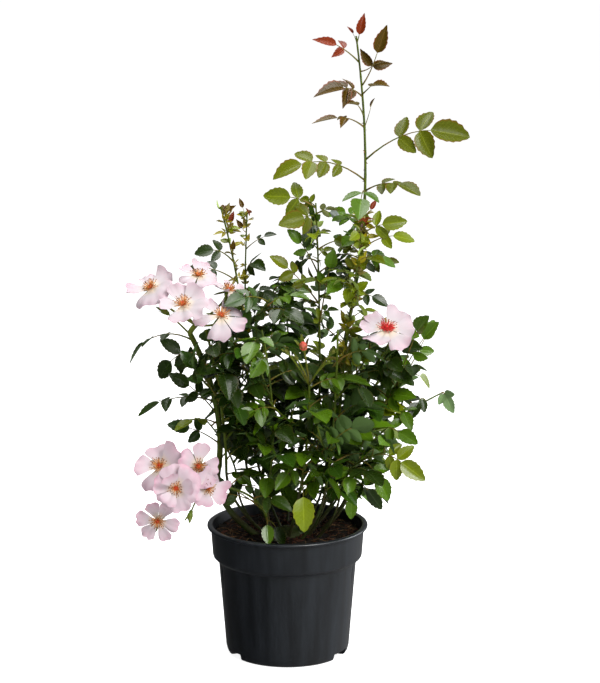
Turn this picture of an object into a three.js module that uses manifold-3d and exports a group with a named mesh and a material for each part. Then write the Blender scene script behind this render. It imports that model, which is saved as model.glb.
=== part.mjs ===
// Shrub rose in a round black nursery pot. Millimetres, +Z up, the pot's underside on z = 0.
// The front is -Y. Every cane, every foliage mass and every cluster of blooms is its own solid.
import * as THREE from "three";
import { mergeVertices } from "three/addons/utils/BufferGeometryUtils.js";
import Module from "manifold-3d";

const wasm = await Module();
wasm.setup();

// ---- driving sizes ---------------------------------------------------------------------------
const GAP = 0.3;                 // clearance between neighbouring solids
const POT_HEIGHT = 184;
const POT_SIDES = 36;
const LIP_RADIUS = 112.5;
const LIP_HEIGHT = 3.6;
const COLLAR_TOP_RADIUS = 107.4;
const COLLAR_FOOT_RADIUS = 104.8;
const COLLAR_FOOT_Z = 142;
const BODY_TOP_RADIUS = 96.7;
const BODY_TOP_Z = 134;
const BODY_FOOT_RADIUS = 86;
const FLAT_RADIUS = 81;          // the flat underside
const WALL = 2.6;
const FLOOR_TOP = 12.5;
const NOTCH_ANGLES = [-150, -30, 90];
const NOTCH_HEIGHT = 9.5;
const NOTCH_DEPTH = 17;
const NOTCH_WIDTH_FOOT = 35;
const NOTCH_WIDTH_TOP = 26;
const FLUTE_ANGLES = [-161, -19, 19, 161];
const FLUTE_TOP_Z = 131;
const FLUTE_FOOT_Z = 92;
const SOIL_Z = 170;
const SOIL_BUMP = 2.2;
const CROWN_RADIUS = 25;
const CROWN_RISE = 9;
const FOOT_Z = 158;              // canes are drawn from here and trimmed at the soil
const CANE_RINGS = 6;            // the last two lie close together, square to the stem
const STEM_RINGS = 8;            // a mass's stem is straight between this many points
const GOLDEN = 137.5;
const BLADE_THICKNESS = 1.3;
const PETAL_CUP = 0.3;           // rise of a petal over its reach
// a petal's rim: turn from its middle in shares of the step between petals, and reach
const PETAL_RIM = [[-0.5, 0.3], [-0.37, 0.88], [0, 1], [0.37, 0.88]];
const BLADE_WIDTH = 0.62;        // width of a leaflet over its length
const BLADE_MIDDLE = 0.48;       // where along its length it is widest
const LONE_SCALE = 1.45;         // growth of the leaflets that stand for a whole leaf
const BLADE_FOLD = 0.16;         // how far its edges rise, over its half width
const GUARD = 0.45;              // how much a leaf is grown before it is tested for room
const TRIES = 8;                 // places tried for each leaf grown by rule
const BUD_STALK_RADII = [1.3, 1.1, 1, 1.2];

// name, foot [x, y], bow [x, y], neck, tip, radii at foot, neck and tip, leaves grown by rule,
// leaflet length, leaf stalk length, rise in degrees, first leaf's place along the stem
const SHOOTS = [
  ["leader", [9, 9], [10, 14], [92, 22, 502], [93, 4, 860], [5.5, 4.0, 1.5], 0, 30, 58, 38, 0.06],
  ["lime_shoot", [23, -14], [20, -12], [70, -34, 311], [107, -26, 623], [4, 3.2, 1.3], 9, 18, 30, 52, 0.45],
  ["side_shoot", [10, -9], [14, -4], [43, -4, 304], [39, -10, 636], [4, 3, 1.3], 9, 25, 44, 38, 0.2],
  ["left_twin", [-12, 9], [-30, 6], [-58, 14, 300], [-90, 6, 626], [4, 3.2, 1.2], 6, 30, 50, 38, 0.02],
  ["left_fork", [-3, 18], [-16, 12], [-50, 34, 309], [-55, 24, 618], [3.5, 2.8, 1.1], 6, 30, 50, 38, 0.08],
  ["left_main", [-28, -9], [-42, -10], [-96, -16, 264], [-132, -34, 460], [5, 4.2, 3], 7, 33, 55, 38, 0.06],
  ["left_second", [-17, -2], [-34, -2], [-84, -34, 269], [-109, -62, 471], [4, 3.4, 2.2], 7, 33, 52, 38, 0.06],
  ["low_left", [-15, -35], [-4, -8], [-27, -54, 199], [-109, -82, 262], [3, 2.6, 2.2], 2, 26, 40, 38, 0.02],
  ["centre", [-1, -13], [2, -8], [18, -46, 243], [30, -66, 397], [4, 3.2, 2], 6, 33, 58, 38, 0.25],
  ["centre_left", [-13, -18], [-14, -8], [-26, -50, 247], [-34, -58, 470], [4, 3.2, 1.6], 9, 33, 58, 38, 0.06],
  ["centre_right", [12, -25], [14, -12], [53, -56, 249], [68, -84, 475], [4, 3.2, 1.6], 9, 33, 58, 38, 0.06],
  ["right_main", [35, -3], [22, -6], [90, -14, 249], [176, -34, 410], [4, 3.2, 1.6], 8, 33, 58, 38, 0.06],
  ["right_arch", [34, 11], [20, 10], [85, 14, 230], [217, 6, 370], [3.6, 3, 1.2], 6, 30, 58, 38, 0.06],
  ["right_low", [34, -18], [16, -14], [73, -50, 242], [134, -84, 307], [3.4, 2.8, 1.5], 6, 30, 44, 38, 0.06],
  ["back_left", [-16, 24], [-14, 22], [-37, 56, 219], [-76, 92, 427], [4, 3.2, 1.5], 8, 33, 58, 38, 0.06],
  ["back_centre", [-1, 31], [0, 22], [3, 66, 216], [-2, 98, 469], [4, 3.2, 1.5], 9, 33, 58, 38, 0.06],
  ["back_right", [12, 24], [14, 22], [49, 60, 218], [89, 98, 462], [4, 3.2, 1.5], 9, 33, 58, 38, 0.06],
  ["left_low_back", [-28, 10], [-20, 14], [-70, 44, 222], [-117, 84, 312], [3.6, 2.8, 1.3], 6, 30, 58, 38, 0.06],
  ["right_low_back", [24, 20], [18, 20], [77, 50, 221], [146, 94, 339], [3.6, 2.8, 1.3], 7, 30, 58, 38, 0.06],
  ["flower_shoot", [22, 1], [26, -6], [87, 4, 288], [137, -52, 447], [3.6, 3, 1.8], 5, 30, 58, 38, 0.06],
];

// Leaves of the outline: shoot, place along its stem, end of the stalk, arch, tip to the front in
// degrees, pairs of leaflets, leaflet length
const LEAVES = [
  ["leader", 0.91, [75, 2, 845], 2, 45, 1, 24],
  ["leader", 0.83, [125, -8, 839], -8, 75, 1, 30],
  ["leader", 0.98, [97, 0, 864], -2, 70, 0, 22],
  ["leader", 0.97, [89, 6, 863], 2, 20, 0, 10],
  ["leader", 0.79, [73, -8, 794], 12, 55, 2, 30],
  ["leader", 0.80, [112, -8, 794], 0, 40, 0, 20],
  ["leader", 0.68, [78, 4, 750], 10, 15, 2, 36],
  ["leader", 0.68, [111, 0, 763], -2, 30, 0, 14],
  ["leader", 0.56, [182, -12, 734], 20, 62, 2, 35],
  ["leader", 0.48, [20, -8, 689], 24, 50, 3, 32],
  ["leader", 0.44, [150, -20, 663], 10, 14, 2, 26],
  ["leader", 0.43, [99, -60, 648], 14, 60, 1, 32],
  ["leader", 0.29, [81, 30, 616], 10, 40, 1, 24],
  ["leader", 0.15, [117, 34, 557], 10, 40, 1, 22],
  ["leader", 0.05, [70, 30, 529], 10, 45, 2, 24],
  ["side_shoot", 0.98, [5, -18, 645], 6, 78, 1, 30],
  ["side_shoot", 0.95, [23, -24, 619], 2, 78, 1, 30],
  ["side_shoot", 0.90, [35, -14, 604], 8, 65, 1, 24],
  ["side_shoot", 0.96, [58, 0, 622], 4, 50, 0, 20],
  ["side_shoot", 0.82, [79, 4, 583], 8, 30, 1, 20],
  ["side_shoot", 0.77, [18, 20, 550], 10, 40, 2, 22],
  ["lime_shoot", 0.99, [113, -26, 629], -2, 60, 0, 13],
  ["lime_shoot", 0.92, [128, -36, 610], 4, 76, 1, 28],
  ["lime_shoot", 0.85, [143, -30, 594], 10, 35, 1, 25],
  ["lime_shoot", 0.81, [126, -30, 564], 8, 40, 1, 20],
  ["lime_shoot", 0.65, [115, -40, 513], 8, 50, 1, 20],
  ["left_twin", 0.98, [-96, 4, 629], -2, 60, 0, 13],
  ["left_twin", 0.99, [-83, 4, 623], -2, 60, 0, 12],
  ["left_twin", 0.94, [-100, 2, 613], 0, 50, 0, 14],
  ["left_twin", 0.91, [-78, 4, 607], -2, 50, 0, 14],
  ["left_twin", 0.85, [-90, -4, 585], 0, 60, 0, 13],
  ["left_twin", 0.81, [-74, -4, 571], 0, 60, 0, 13],
  ["left_twin", 0.79, [-100, -6, 571], 8, 55, 1, 22],
  ["left_twin", 0.71, [-112, -6, 546], 8, 40, 1, 22],
  ["left_fork", 0.98, [-61, 24, 625], -2, 60, 0, 12],
  ["left_fork", 0.98, [-50, 22, 617], -2, 60, 0, 11],
  ["left_fork", 0.92, [-62, 22, 597], -2, 60, 0, 12],
  ["left_fork", 0.85, [-32, 24, 585], 4, 30, 1, 14],
  ["left_fork", 0.74, [-48, 8, 551], 10, 50, 1, 24],
  ["left_fork", 0.63, [-35, 10, 510], 12, 40, 2, 24],
  ["left_main", 0.95, [-192, -24, 447], 22, 6, 2, 28],
  ["left_main", 0.84, [-159, -24, 420], 18, 60, 1, 30],
  ["left_main", 0.52, [-175, -26, 363], 14, 8, 2, 27],
  ["left_main", 0.35, [-130, -40, 341], 8, 12, 1, 24],
  ["low_left", 0.34, [-86, -64, 244], 4, 60, 1, 19],
  ["low_left", 0.08, [-27, -68, 200], 6, 60, 0, 22],
  ["low_left", 0.03, [-16, -64, 196], 6, 35, 0, 22],
  ["centre", 0.11, [22, -84, 240], 16, 74, 0, 34],
  ["centre", 0.21, [1, -84, 276], 12, 70, 1, 26],
  ["right_main", 0.77, [187, -30, 451], -8, 60, 2, 24],
  ["right_main", 0.96, [170, -44, 417], 6, 40, 1, 26],
  ["right_main", 0.95, [182, -20, 398], 4, 40, 0, 24],
  ["flower_shoot", 0.78, [138, -70, 430], 10, 60, 1, 26],
  ["flower_shoot", 0.74, [155, -60, 445], 14, 55, 1, 26],
  ["right_arch", 0.99, [220, 4, 365], 4, -60, 1, 20],
  ["right_arch", 0.89, [181, -10, 359], 10, 40, 1, 22],
  ["right_arch", 0.69, [160, -20, 348], 12, 55, 2, 24],
  ["right_low", 0.88, [154, -92, 295], 8, 76, 2, 31],
  ["right_low", 0.27, [110, -78, 252], 10, 60, 1, 26],
  ["right_low", 0.45, [85, -88, 274], 10, 60, 2, 24],
  ["right_low", 0.66, [123, -94, 273], 10, 60, 1, 26],
];

// The crown's section at each height: height, left edge, right edge
const CROWN = [
  [205, -35, 59], [216, -55, 140], [245, -71, 146], [274, -85, 151], [302, -113, 162],
  [331, -124, 167], [359, -134, 181], [388, -137, 194], [416, -139, 202], [444, -136, 210],
  [472, -103, 160], [500, -86, 119], [521, -83, 116], [553, 1, 157], [583, 17, 137],
  [618, 58, 132],
];
const CROWN_LEAN = 0.196;        // the sections fall towards the front by this slope

// Clusters of blooms: name, shoot that carries it, fork of the stalks
const CLUSTERS = [
  ["blooms_upper", "left_main", [-124, -44, 474]],
  ["blooms_lower", "low_left", [-118, -86, 262]],
  ["bloom_right", "flower_shoot", [138, -57, 454]],
];
// cluster, centre, facing direction, diameter, petals
const BLOOMS = [
  ["blooms_upper", [-183, -60, 528], [-0.35, -0.6, 0.7], 68, 5],
  ["blooms_upper", [-120, -40, 541], [0.1, -0.45, 0.9], 66, 5],
  ["blooms_upper", [-138, -92, 511], [-0.1, -1, 0.1], 72, 5],
  ["blooms_upper", [-88, -84, 494], [0.35, -0.9, -0.05], 74, 5],
  ["blooms_upper", [-79, -50, 523], [0.3, -0.2, 0.9], 62, 5],
  ["blooms_lower", [-172, -84, 287], [-0.35, -0.75, 0.5], 76, 5],
  ["blooms_lower", [-148, -128, 268], [0, -1, 0.15], 74, 7],
  ["blooms_lower", [-124, -96, 296], [0.2, -0.7, 0.5], 62, 5],
  ["blooms_lower", [-107, -100, 258], [0.8, -0.6, 0.1], 54, 5],
  ["blooms_lower", [-174, -112, 218], [-0.1, -1, -0.15], 54, 6],
  ["bloom_right", [134, -82, 476], [0.08, -1, 0.12], 76, 5],
];
// Buds and hips: mass that carries it, place along its stem, end of the stalk, radius
const BUDS = [
  ["centre", 1.0, [23, -82, 451], 5.6],
  ["centre", 0.99, [12, -84, 432], 3.4],
  ["centre", 1.0, [0, -72, 441], 3.2],
  ["centre", 1.0, [59, -78, 442], 3.0],
  ["left_main", 0.99, [-165, -60, 496], 4.6],
  ["low_left", 0.99, [-131, -104, 223], 4.2],
];

// ---- small tools -----------------------------------------------------------------------------
const vec = (p) => new THREE.Vector3(p[0], p[1], p[2]);
const radians = THREE.MathUtils.degToRad;
const UP = new THREE.Vector3(0, 0, 1);

/** A seeded stream of numbers: each value is the last one times 48271, modulo 2^31 - 1. */
function stream(seed) {
  let state = (seed * 7919 + 104729) % 2147483647;
  const draw = (low = 0, high = 1) => {
    state = (state * 48271) % 2147483647;
    return low + ((high - low) * state) / 2147483647;
  };
  draw();
  draw();
  draw();
  return draw;
}

/** The manifold solid of a closed three.js geometry. */
function solid(geometry) {
  const bare = geometry.clone();
  bare.deleteAttribute("normal");
  bare.deleteAttribute("uv");
  const joined = mergeVertices(bare, 1e-4);
  return new wasm.Manifold(new wasm.Mesh({
    numProp: 3,
    vertProperties: new Float32Array(joined.attributes.position.array),
    triVerts: new Uint32Array(joined.index.array),
  }));
}

/** A geometry from corner points and faces of three or four corners. */
function facets(points, faces) {
  const geometry = new THREE.BufferGeometry();
  const flat = points.flatMap((p) => [p.x, p.y, p.z]);
  const index = faces.flatMap((f) => (f.length === 4 ? [f[0], f[1], f[2], f[0], f[2], f[3]] : f));
  geometry.setAttribute("position", new THREE.Float32BufferAttribute(flat, 3));
  geometry.setIndex(index);
  return geometry;
}

/** A mesh of a solid, with its own material. */
function mesh(name, body, color, roughness) {
  const result = body.getMesh();
  const geometry = new THREE.BufferGeometry();
  geometry.setAttribute("position", new THREE.BufferAttribute(result.vertProperties, 3));
  geometry.setIndex(new THREE.BufferAttribute(result.triVerts, 1));
  geometry.computeVertexNormals();
  const material = new THREE.MeshStandardMaterial({ color, roughness, metalness: 0 });
  const item = new THREE.Mesh(geometry, material);
  item.name = name;
  return item;
}

/** The point at t on the curve from a to b that leans towards c. */
function bend(a, c, b, t) {
  const p = a.clone().multiplyScalar((1 - t) * (1 - t));
  p.addScaledVector(c, 2 * t * (1 - t));
  return p.addScaledVector(b, t * t);
}

/** A closed tapering limb of flat sides round a run of points. */
function limb(points, radii, sides) {
  const corners = [];
  const faces = [];
  points.forEach((point, i) => {
    const before = points[Math.max(i - 1, 0)];
    const after = points[Math.min(i + 1, points.length - 1)];
    const along = after.clone().sub(before).normalize();
    const hint = Math.abs(along.y) > 0.9 ? new THREE.Vector3(1, 0, 0) : new THREE.Vector3(0, 1, 0);
    const across = new THREE.Vector3().crossVectors(hint, along).normalize();
    const other = new THREE.Vector3().crossVectors(along, across);
    for (let k = 0; k < sides; k += 1) {
      const angle = (2 * Math.PI * k) / sides;
      const corner = point.clone().addScaledVector(across, radii[i] * Math.cos(angle));
      corners.push(corner.addScaledVector(other, radii[i] * Math.sin(angle)));
    }
  });
  const last = (points.length - 1) * sides;
  for (let i = 0; i < points.length - 1; i += 1) {
    for (let k = 0; k < sides; k += 1) {
      const next = (k + 1) % sides;
      faces.push([i * sides + k, i * sides + next, (i + 1) * sides + next, (i + 1) * sides + k]);
    }
  }
  for (let k = 1; k < sides - 1; k += 1) {
    faces.push([0, k + 1, k]);
    faces.push([last, last + k, last + k + 1]);
  }
  return facets(corners, faces);
}

const spread = (count) => Array.from({ length: count }, (_, i) => i / (count - 1));
const taper = (steps, a, b) => steps.map((t) => a + (b - a) * t);
const merge = (solids) => solids.reduce((sum, item) => sum.add(item));

// ---- the pot, the soil and the root crown ----------------------------------------------------
/** A wedge that cuts one drainage notch from the foot of the pot's wall. */
function notch(degrees) {
  const inner = FLAT_RADIUS - NOTCH_DEPTH;
  const outline = new THREE.Shape();
  outline.moveTo(-NOTCH_WIDTH_FOOT / 2, -5);
  outline.lineTo(NOTCH_WIDTH_FOOT / 2, -5);
  outline.lineTo(NOTCH_WIDTH_FOOT / 2, 0);
  outline.lineTo(NOTCH_WIDTH_TOP / 2, NOTCH_HEIGHT);
  outline.lineTo(-NOTCH_WIDTH_TOP / 2, NOTCH_HEIGHT);
  outline.lineTo(-NOTCH_WIDTH_FOOT / 2, 0);
  outline.closePath();
  const block = new THREE.ExtrudeGeometry(outline, { depth: 40, bevelEnabled: false });
  block.rotateX(Math.PI / 2);
  block.translate(0, inner + 40, 0);
  block.rotateZ(radians(degrees - 90));
  return solid(block);
}

/** A narrow wedge that cuts one tapering flute into the wall below the collar. */
function flute(degrees) {
  const radius = (z) => BODY_FOOT_RADIUS + ((BODY_TOP_RADIUS - BODY_FOOT_RADIUS) * z) / BODY_TOP_Z;
  const top = radius(FLUTE_TOP_Z);
  const foot = radius(FLUTE_FOOT_Z);
  const points = [
    [top - 1.5, -3, FLUTE_TOP_Z], [top + 4, -3, FLUTE_TOP_Z],
    [top + 4, 3, FLUTE_TOP_Z], [top - 1.5, 3, FLUTE_TOP_Z],
    [foot - 0.4, -1, FLUTE_FOOT_Z], [foot + 4, -1, FLUTE_FOOT_Z],
    [foot + 4, 1, FLUTE_FOOT_Z], [foot - 0.4, 1, FLUTE_FOOT_Z],
  ].map(vec);
  const faces = [[0, 1, 2, 3], [7, 6, 5, 4], [0, 4, 5, 1], [1, 5, 6, 2], [2, 6, 7, 3], [3, 7, 4, 0]];
  const block = facets(points, faces);
  block.rotateZ(radians(degrees));
  return solid(block);
}

/** The pot: a turned shell with a rolled lip, a stepped collar, notches and flutes. */
function pot() {
  const profile = [
    [0, 0], [FLAT_RADIUS, 0], [FLAT_RADIUS + 3.2, 1.6], [BODY_FOOT_RADIUS, 6],
    [BODY_TOP_RADIUS, BODY_TOP_Z], [COLLAR_FOOT_RADIUS - 1.4, COLLAR_FOOT_Z - 4],
    [COLLAR_FOOT_RADIUS, COLLAR_FOOT_Z], [COLLAR_TOP_RADIUS, POT_HEIGHT - LIP_HEIGHT - 1],
    [LIP_RADIUS - 0.8, POT_HEIGHT - LIP_HEIGHT], [LIP_RADIUS, POT_HEIGHT - 2],
    [LIP_RADIUS - 1, POT_HEIGHT], [COLLAR_TOP_RADIUS - WALL + 1, POT_HEIGHT],
    [COLLAR_TOP_RADIUS - WALL, POT_HEIGHT - 2],
    [COLLAR_FOOT_RADIUS - WALL, COLLAR_FOOT_Z + 1.5], [BODY_TOP_RADIUS - WALL, BODY_TOP_Z + 2],
    [BODY_FOOT_RADIUS - WALL + 0.6, FLOOR_TOP], [0, FLOOR_TOP],
  ].map(([r, z]) => new THREE.Vector2(r, z));
  const turned = new THREE.LatheGeometry(profile, POT_SIDES);
  turned.rotateX(Math.PI / 2);
  let shell = solid(turned);
  NOTCH_ANGLES.forEach((angle) => {
    shell = shell.subtract(notch(angle));
  });
  FLUTE_ANGLES.forEach((angle) => {
    shell = shell.subtract(flute(angle));
  });
  return shell;
}

/** Height of the soil at a place: a level with low lumps from four crossing waves. */
function soilHeight(x, y) {
  const waves = Math.sin(0.11 * x + 0.05 * y) + Math.sin(0.07 * x - 0.13 * y + 1.7)
    + 0.6 * Math.sin(0.21 * x + 0.17 * y + 0.4) + 0.6 * Math.sin(0.19 * x - 0.24 * y + 2.9);
  return SOIL_Z + (SOIL_BUMP * waves) / 3.2;
}

/** The soil: a tapering plug that fills the pot to just below its lip, raised by lift. */
function soil(lift) {
  const rings = [0.12, 0.3, 0.5, 0.7, 0.87, 1];
  const sides = 28;
  const topRadius = COLLAR_TOP_RADIUS - WALL - GAP - 1.1;
  const points = [new THREE.Vector3(0, 0, soilHeight(0, 0) + lift)];
  const faces = [];
  rings.forEach((ring) => {
    for (let k = 0; k < sides; k += 1) {
      const x = ring * topRadius * Math.cos((2 * Math.PI * k) / sides);
      const y = ring * topRadius * Math.sin((2 * Math.PI * k) / sides);
      points.push(new THREE.Vector3(x, y, soilHeight(x, y) + lift));
    }
  });
  const lower = [
    [COLLAR_FOOT_RADIUS - WALL - GAP - 0.7, COLLAR_FOOT_Z + 2.2],
    [BODY_TOP_RADIUS - WALL - GAP - 0.7, BODY_TOP_Z + 2],
    [BODY_FOOT_RADIUS - WALL - GAP - 0.3, FLOOR_TOP + GAP],
  ];
  lower.forEach(([radius, z]) => {
    for (let k = 0; k < sides; k += 1) {
      const angle = (2 * Math.PI * k) / sides;
      points.push(new THREE.Vector3(radius * Math.cos(angle), radius * Math.sin(angle), z));
    }
  });
  const base = points.length;
  points.push(new THREE.Vector3(0, 0, FLOOR_TOP + GAP));
  const count = rings.length + lower.length;
  for (let k = 0; k < sides; k += 1) {
    const next = (k + 1) % sides;
    faces.push([0, 1 + k, 1 + next]);
    for (let i = 0; i < count - 1; i += 1) {
      const a = 1 + i * sides;
      const b = a + sides;
      faces.push([a + k, b + k, b + next, a + next]);
    }
    const end = 1 + (count - 1) * sides;
    faces.push([end + k, base, end + next]);
  }
  return solid(facets(points, faces));
}

/** The root crown: a low knobbly dome of wood where the canes rise, grown by extra. */
function rootCrown(extra) {
  const outline = [
    [0, -14], [0.9, -14], [1, -4], [0.86, 2], [0.55, 6.4], [0.2, CROWN_RISE], [0, CROWN_RISE],
  ];
  const profile = outline.map(([share, z]) => {
    const r = share === 0 ? 0 : share * CROWN_RADIUS + extra;
    return new THREE.Vector2(r, z > 0 ? z + extra : z);
  });
  const turned = new THREE.LatheGeometry(profile, 14);
  turned.rotateX(Math.PI / 2);
  turned.scale(1.1, 0.9, 1);
  turned.translate(2, -1, SOIL_Z);
  return solid(turned);
}

// ---- shoots and leaves -----------------------------------------------------------------------
/** The curves of a shoot's cane, from foot to neck, and of its stem, from neck to tip. */
function shootCurves([name, foot, bow, neck, tip, radii]) {
  const start = new THREE.Vector3(foot[0], foot[1], FOOT_Z);
  const end = vec(neck);
  const top = vec(tip);
  const lean = start.clone().add(end).multiplyScalar(0.5).add(new THREE.Vector3(bow[0], bow[1], 0));
  const heading = end.clone().sub(lean).normalize();
  const reach = top.distanceTo(end) * 0.45;
  const turn = end.clone().addScaledVector(heading, reach);
  const rings = spread(STEM_RINGS).map((t) => bend(end, turn, top, t));
  const stem = (t) => {
    const i = Math.min(Math.floor(t * (STEM_RINGS - 1)), STEM_RINGS - 2);
    return rings[i].clone().lerp(rings[i + 1], t * (STEM_RINGS - 1) - i);
  };
  return {
    name,
    radii,
    cane: (t) => bend(start, lean, end, t),
    stem,
    neck: end,
    setting: rings[1].clone().sub(end).normalize(),
    tip: top,
    leaving: top.clone().sub(rings[STEM_RINGS - 2]).normalize(),
  };
}

/** A thin plate round a rim of points, with one peak above its middle and one below. */
function plate(rim, middle, normal, thickness) {
  const points = [
    middle.clone().addScaledVector(normal, thickness / 2),
    middle.clone().addScaledVector(normal, -thickness / 2),
    ...rim,
  ];
  const faces = [];
  rim.forEach((_, k) => {
    const next = (k + 1) % rim.length;
    faces.push([0, 2 + k, 2 + next], [1, 2 + next, 2 + k]);
  });
  return solid(facets(points, faces));
}

/** Rim of a leaflet: one widest point, the tip and the other widest point. */
function bladeRim({ base, along, normal, length: plain }, scale, grow) {
  const length = plain * scale;
  const across = new THREE.Vector3().crossVectors(normal, along).normalize();
  const half = (BLADE_WIDTH * length) / 2 + grow;
  const wide = base.clone().addScaledVector(along, BLADE_MIDDLE * length)
    .addScaledVector(normal, BLADE_FOLD * half);
  return [
    wide.clone().addScaledVector(across, -half),
    base.clone().addScaledVector(along, length + grow),
    wide.addScaledVector(across, half),
  ];
}

/** The places, directions and sizes of a compound leaf's stalk and leaflets. */
function leafPlan(start, end, arch, hint, pairs, size, draw) {
  const lean = start.clone().add(end).multiplyScalar(0.5).addScaledVector(UP, arch);
  const stations = [[], [0.7], [0.52, 0.84], [0.4, 0.62, 0.84]][pairs];
  const shares = [0.92, 0.74, 0.6];
  const frame = (q) => {
    const along = lean.clone().sub(start).multiplyScalar(1 - q);
    along.addScaledVector(end.clone().sub(lean), q).normalize();
    const side = new THREE.Vector3().crossVectors(along, hint).normalize();
    return { along, side, up: new THREE.Vector3().crossVectors(side, along) };
  };
  const blades = [];
  const add = (q, reach, drop, length) => {
    const { up } = frame(q);
    const along = reach.clone().multiplyScalar(Math.cos(drop)).addScaledVector(up, -Math.sin(drop));
    const normal = up.clone().multiplyScalar(Math.cos(drop)).addScaledVector(reach, Math.sin(drop));
    blades.push({ base: bend(start, lean, end, q), along, normal, length });
  };
  stations.forEach((q, k) => {
    const share = shares[stations.length - 1 - k];
    [-1, 1].forEach((sign) => {
      const { along, side } = frame(q);
      const open = radians(66 + draw(-6, 6));
      const drop = radians(draw(0, 26));
      const reach = along.clone().multiplyScalar(Math.cos(open));
      reach.addScaledVector(side, sign * Math.sin(open));
      add(q, reach, drop, size * share * draw(0.92, 1.06));
    });
  });
  const drop = radians(draw(0, 22));
  add(1, frame(1).along, drop, size * 1.28 * draw(0.95, 1.05));
  return { start, lean, end, stations, frame, blades };
}

/**
 * The solid of a leaf, made in one piece. A square stalk runs through rings of four corners; a
 * lower leaflet grows from a short side of it, and the last pair and the end leaflet share a hub.
 * With few set, only the leaflets nearest the tip are made.
 */
function leafSolid(plan, grow, few) {
  const reach = plan.start.distanceTo(plan.end);
  const hubs = plan.stations.length ? plan.stations[plan.stations.length - 1] : 1;
  const fins = few ? [] : plan.stations.slice(0, -1);
  const hub = Math.min(hubs, 1 - 1.5 / reach);
  const stops = [0, fins.length ? fins[0] / 2 : hub / 2];
  fins.forEach((q) => stops.push(q - 1.2 / reach, q + 1.2 / reach));
  stops.push(hub - 1 / reach);
  const points = [];
  const faces = [];
  const add = (p) => points.push(p) - 1;
  stops.forEach((q) => {
    const { side, up } = plan.frame(q);
    const r = 1.05 - 0.3 * q + grow;
    const centre = bend(plan.start, plan.lean, plan.end, q);
    [[r, r], [r, -r], [-r, -r], [-r, r]].forEach(([x, y]) => {
      add(centre.clone().addScaledVector(side, x).addScaledVector(up, y));
    });
  });
  const scale = few ? LONE_SCALE : 1;
  const fin = (topA, lowA, topB, lowB, rim, middle, normal) => {
    const high = add(middle.clone().addScaledVector(normal, BLADE_THICKNESS / 2 + grow));
    const low = add(middle.clone().addScaledVector(normal, -BLADE_THICKNESS / 2 - grow));
    const edge = rim.map(add);
    [topA, ...edge].forEach((p, k) => faces.push([high, p, [...edge, topB][k]]));
    [lowA, ...edge].forEach((p, k) => faces.push([low, [...edge, lowB][k], p]));
    faces.push([high, topB, topA], [low, lowA, lowB], [topA, lowA, edge[0]]);
    faces.push([lowB, topB, edge[edge.length - 1]]);
  };
  faces.push([0, 3, 2, 1]);
  for (let i = 0; i < stops.length - 1; i += 1) {
    const [a, b] = [4 * i, 4 * i + 4];
    const k = i % 2 === 0 && i > 0 ? i / 2 - 1 : -1;
    faces.push([a, b, b + 3, a + 3], [a + 2, b + 2, b + 1, a + 1]);
    if (k >= 0 && k < fins.length) {
      const [left, right] = plan.blades.slice(2 * k, 2 * k + 2);
      const middle = (leaf) => leaf.base.clone().addScaledVector(leaf.along, BLADE_MIDDLE * leaf.length);
      fin(a, a + 1, b, b + 1, bladeRim(right, scale, grow), middle(right), right.normal);
      fin(b + 3, b + 2, a + 3, a + 2, bladeRim(left, scale, grow), middle(left), left.normal);
    } else {
      faces.push([a + 1, b + 1, b, a], [a + 3, b + 3, b + 2, a + 2]);
    }
  }
  const end = 4 * (stops.length - 1);
  const { along, up } = plan.frame(hub);
  const middle = bend(plan.start, plan.lean, plan.end, hub).addScaledVector(along, 0.5);
  const last = plan.blades[plan.blades.length - 1];
  let rim = bladeRim(last, scale, grow);
  if (plan.stations.length) {
    const [left, right] = plan.blades.slice(-3, -1);
    const [leftRim, rightRim] = [left, right].map((leaf) => bladeRim(leaf, scale, grow));
    const flat = (corner) => {
      const out = corner.clone().sub(middle);
      return out.addScaledVector(up, -out.dot(up)).normalize();
    };
    const rib = (leaf) => leaf.base.clone().addScaledVector(leaf.along, BLADE_MIDDLE * leaf.length * scale);
    // neighbouring leaflets are narrowed until a notch fits between them
    const notch = (p, q, first, second) => {
      while (flat(p).cross(flat(q)).dot(up) < 0.08) {
        p.lerp(rib(first), 0.3);
        q.lerp(rib(second), 0.3);
      }
      return middle.clone().addScaledVector(flat(p).add(flat(q)).normalize(), 3.4 + grow);
    };
    const before = notch(rightRim[2], rim[0], right, last);
    const after = notch(rim[2], leftRim[0], last, left);
    rim = [...rightRim, before, ...rim, after, ...leftRim];
  }
  fin(end, end + 1, end + 3, end + 2, rim, middle, up);
  return solid(facets(points, faces));
}

/** Value at z of a column of the crown's table. */
function crownEdge(z, column) {
  const row = CROWN.findIndex((r) => r[0] > z);
  const [low, high] = [CROWN[row - 1], CROWN[row]];
  return low[column] + ((high[column] - low[column]) * (z - low[0])) / (high[0] - low[0]);
}

/** Whether a point lies in the space the crown fills. */
function inCrown(p) {
  const z = p.z + CROWN_LEAN * p.y;
  if (z < CROWN[0][0] || z >= CROWN[CROWN.length - 1][0] || p.z < SOIL_Z + 14) {
    return false;
  }
  const depth = 150 * Math.sqrt(Math.max(0.02, 1 - ((p.z - 380) / 260) ** 2));
  return p.x > crownEdge(z, 1) && p.x < crownEdge(z, 2) && Math.abs(p.y - 6) < depth;
}

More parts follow.
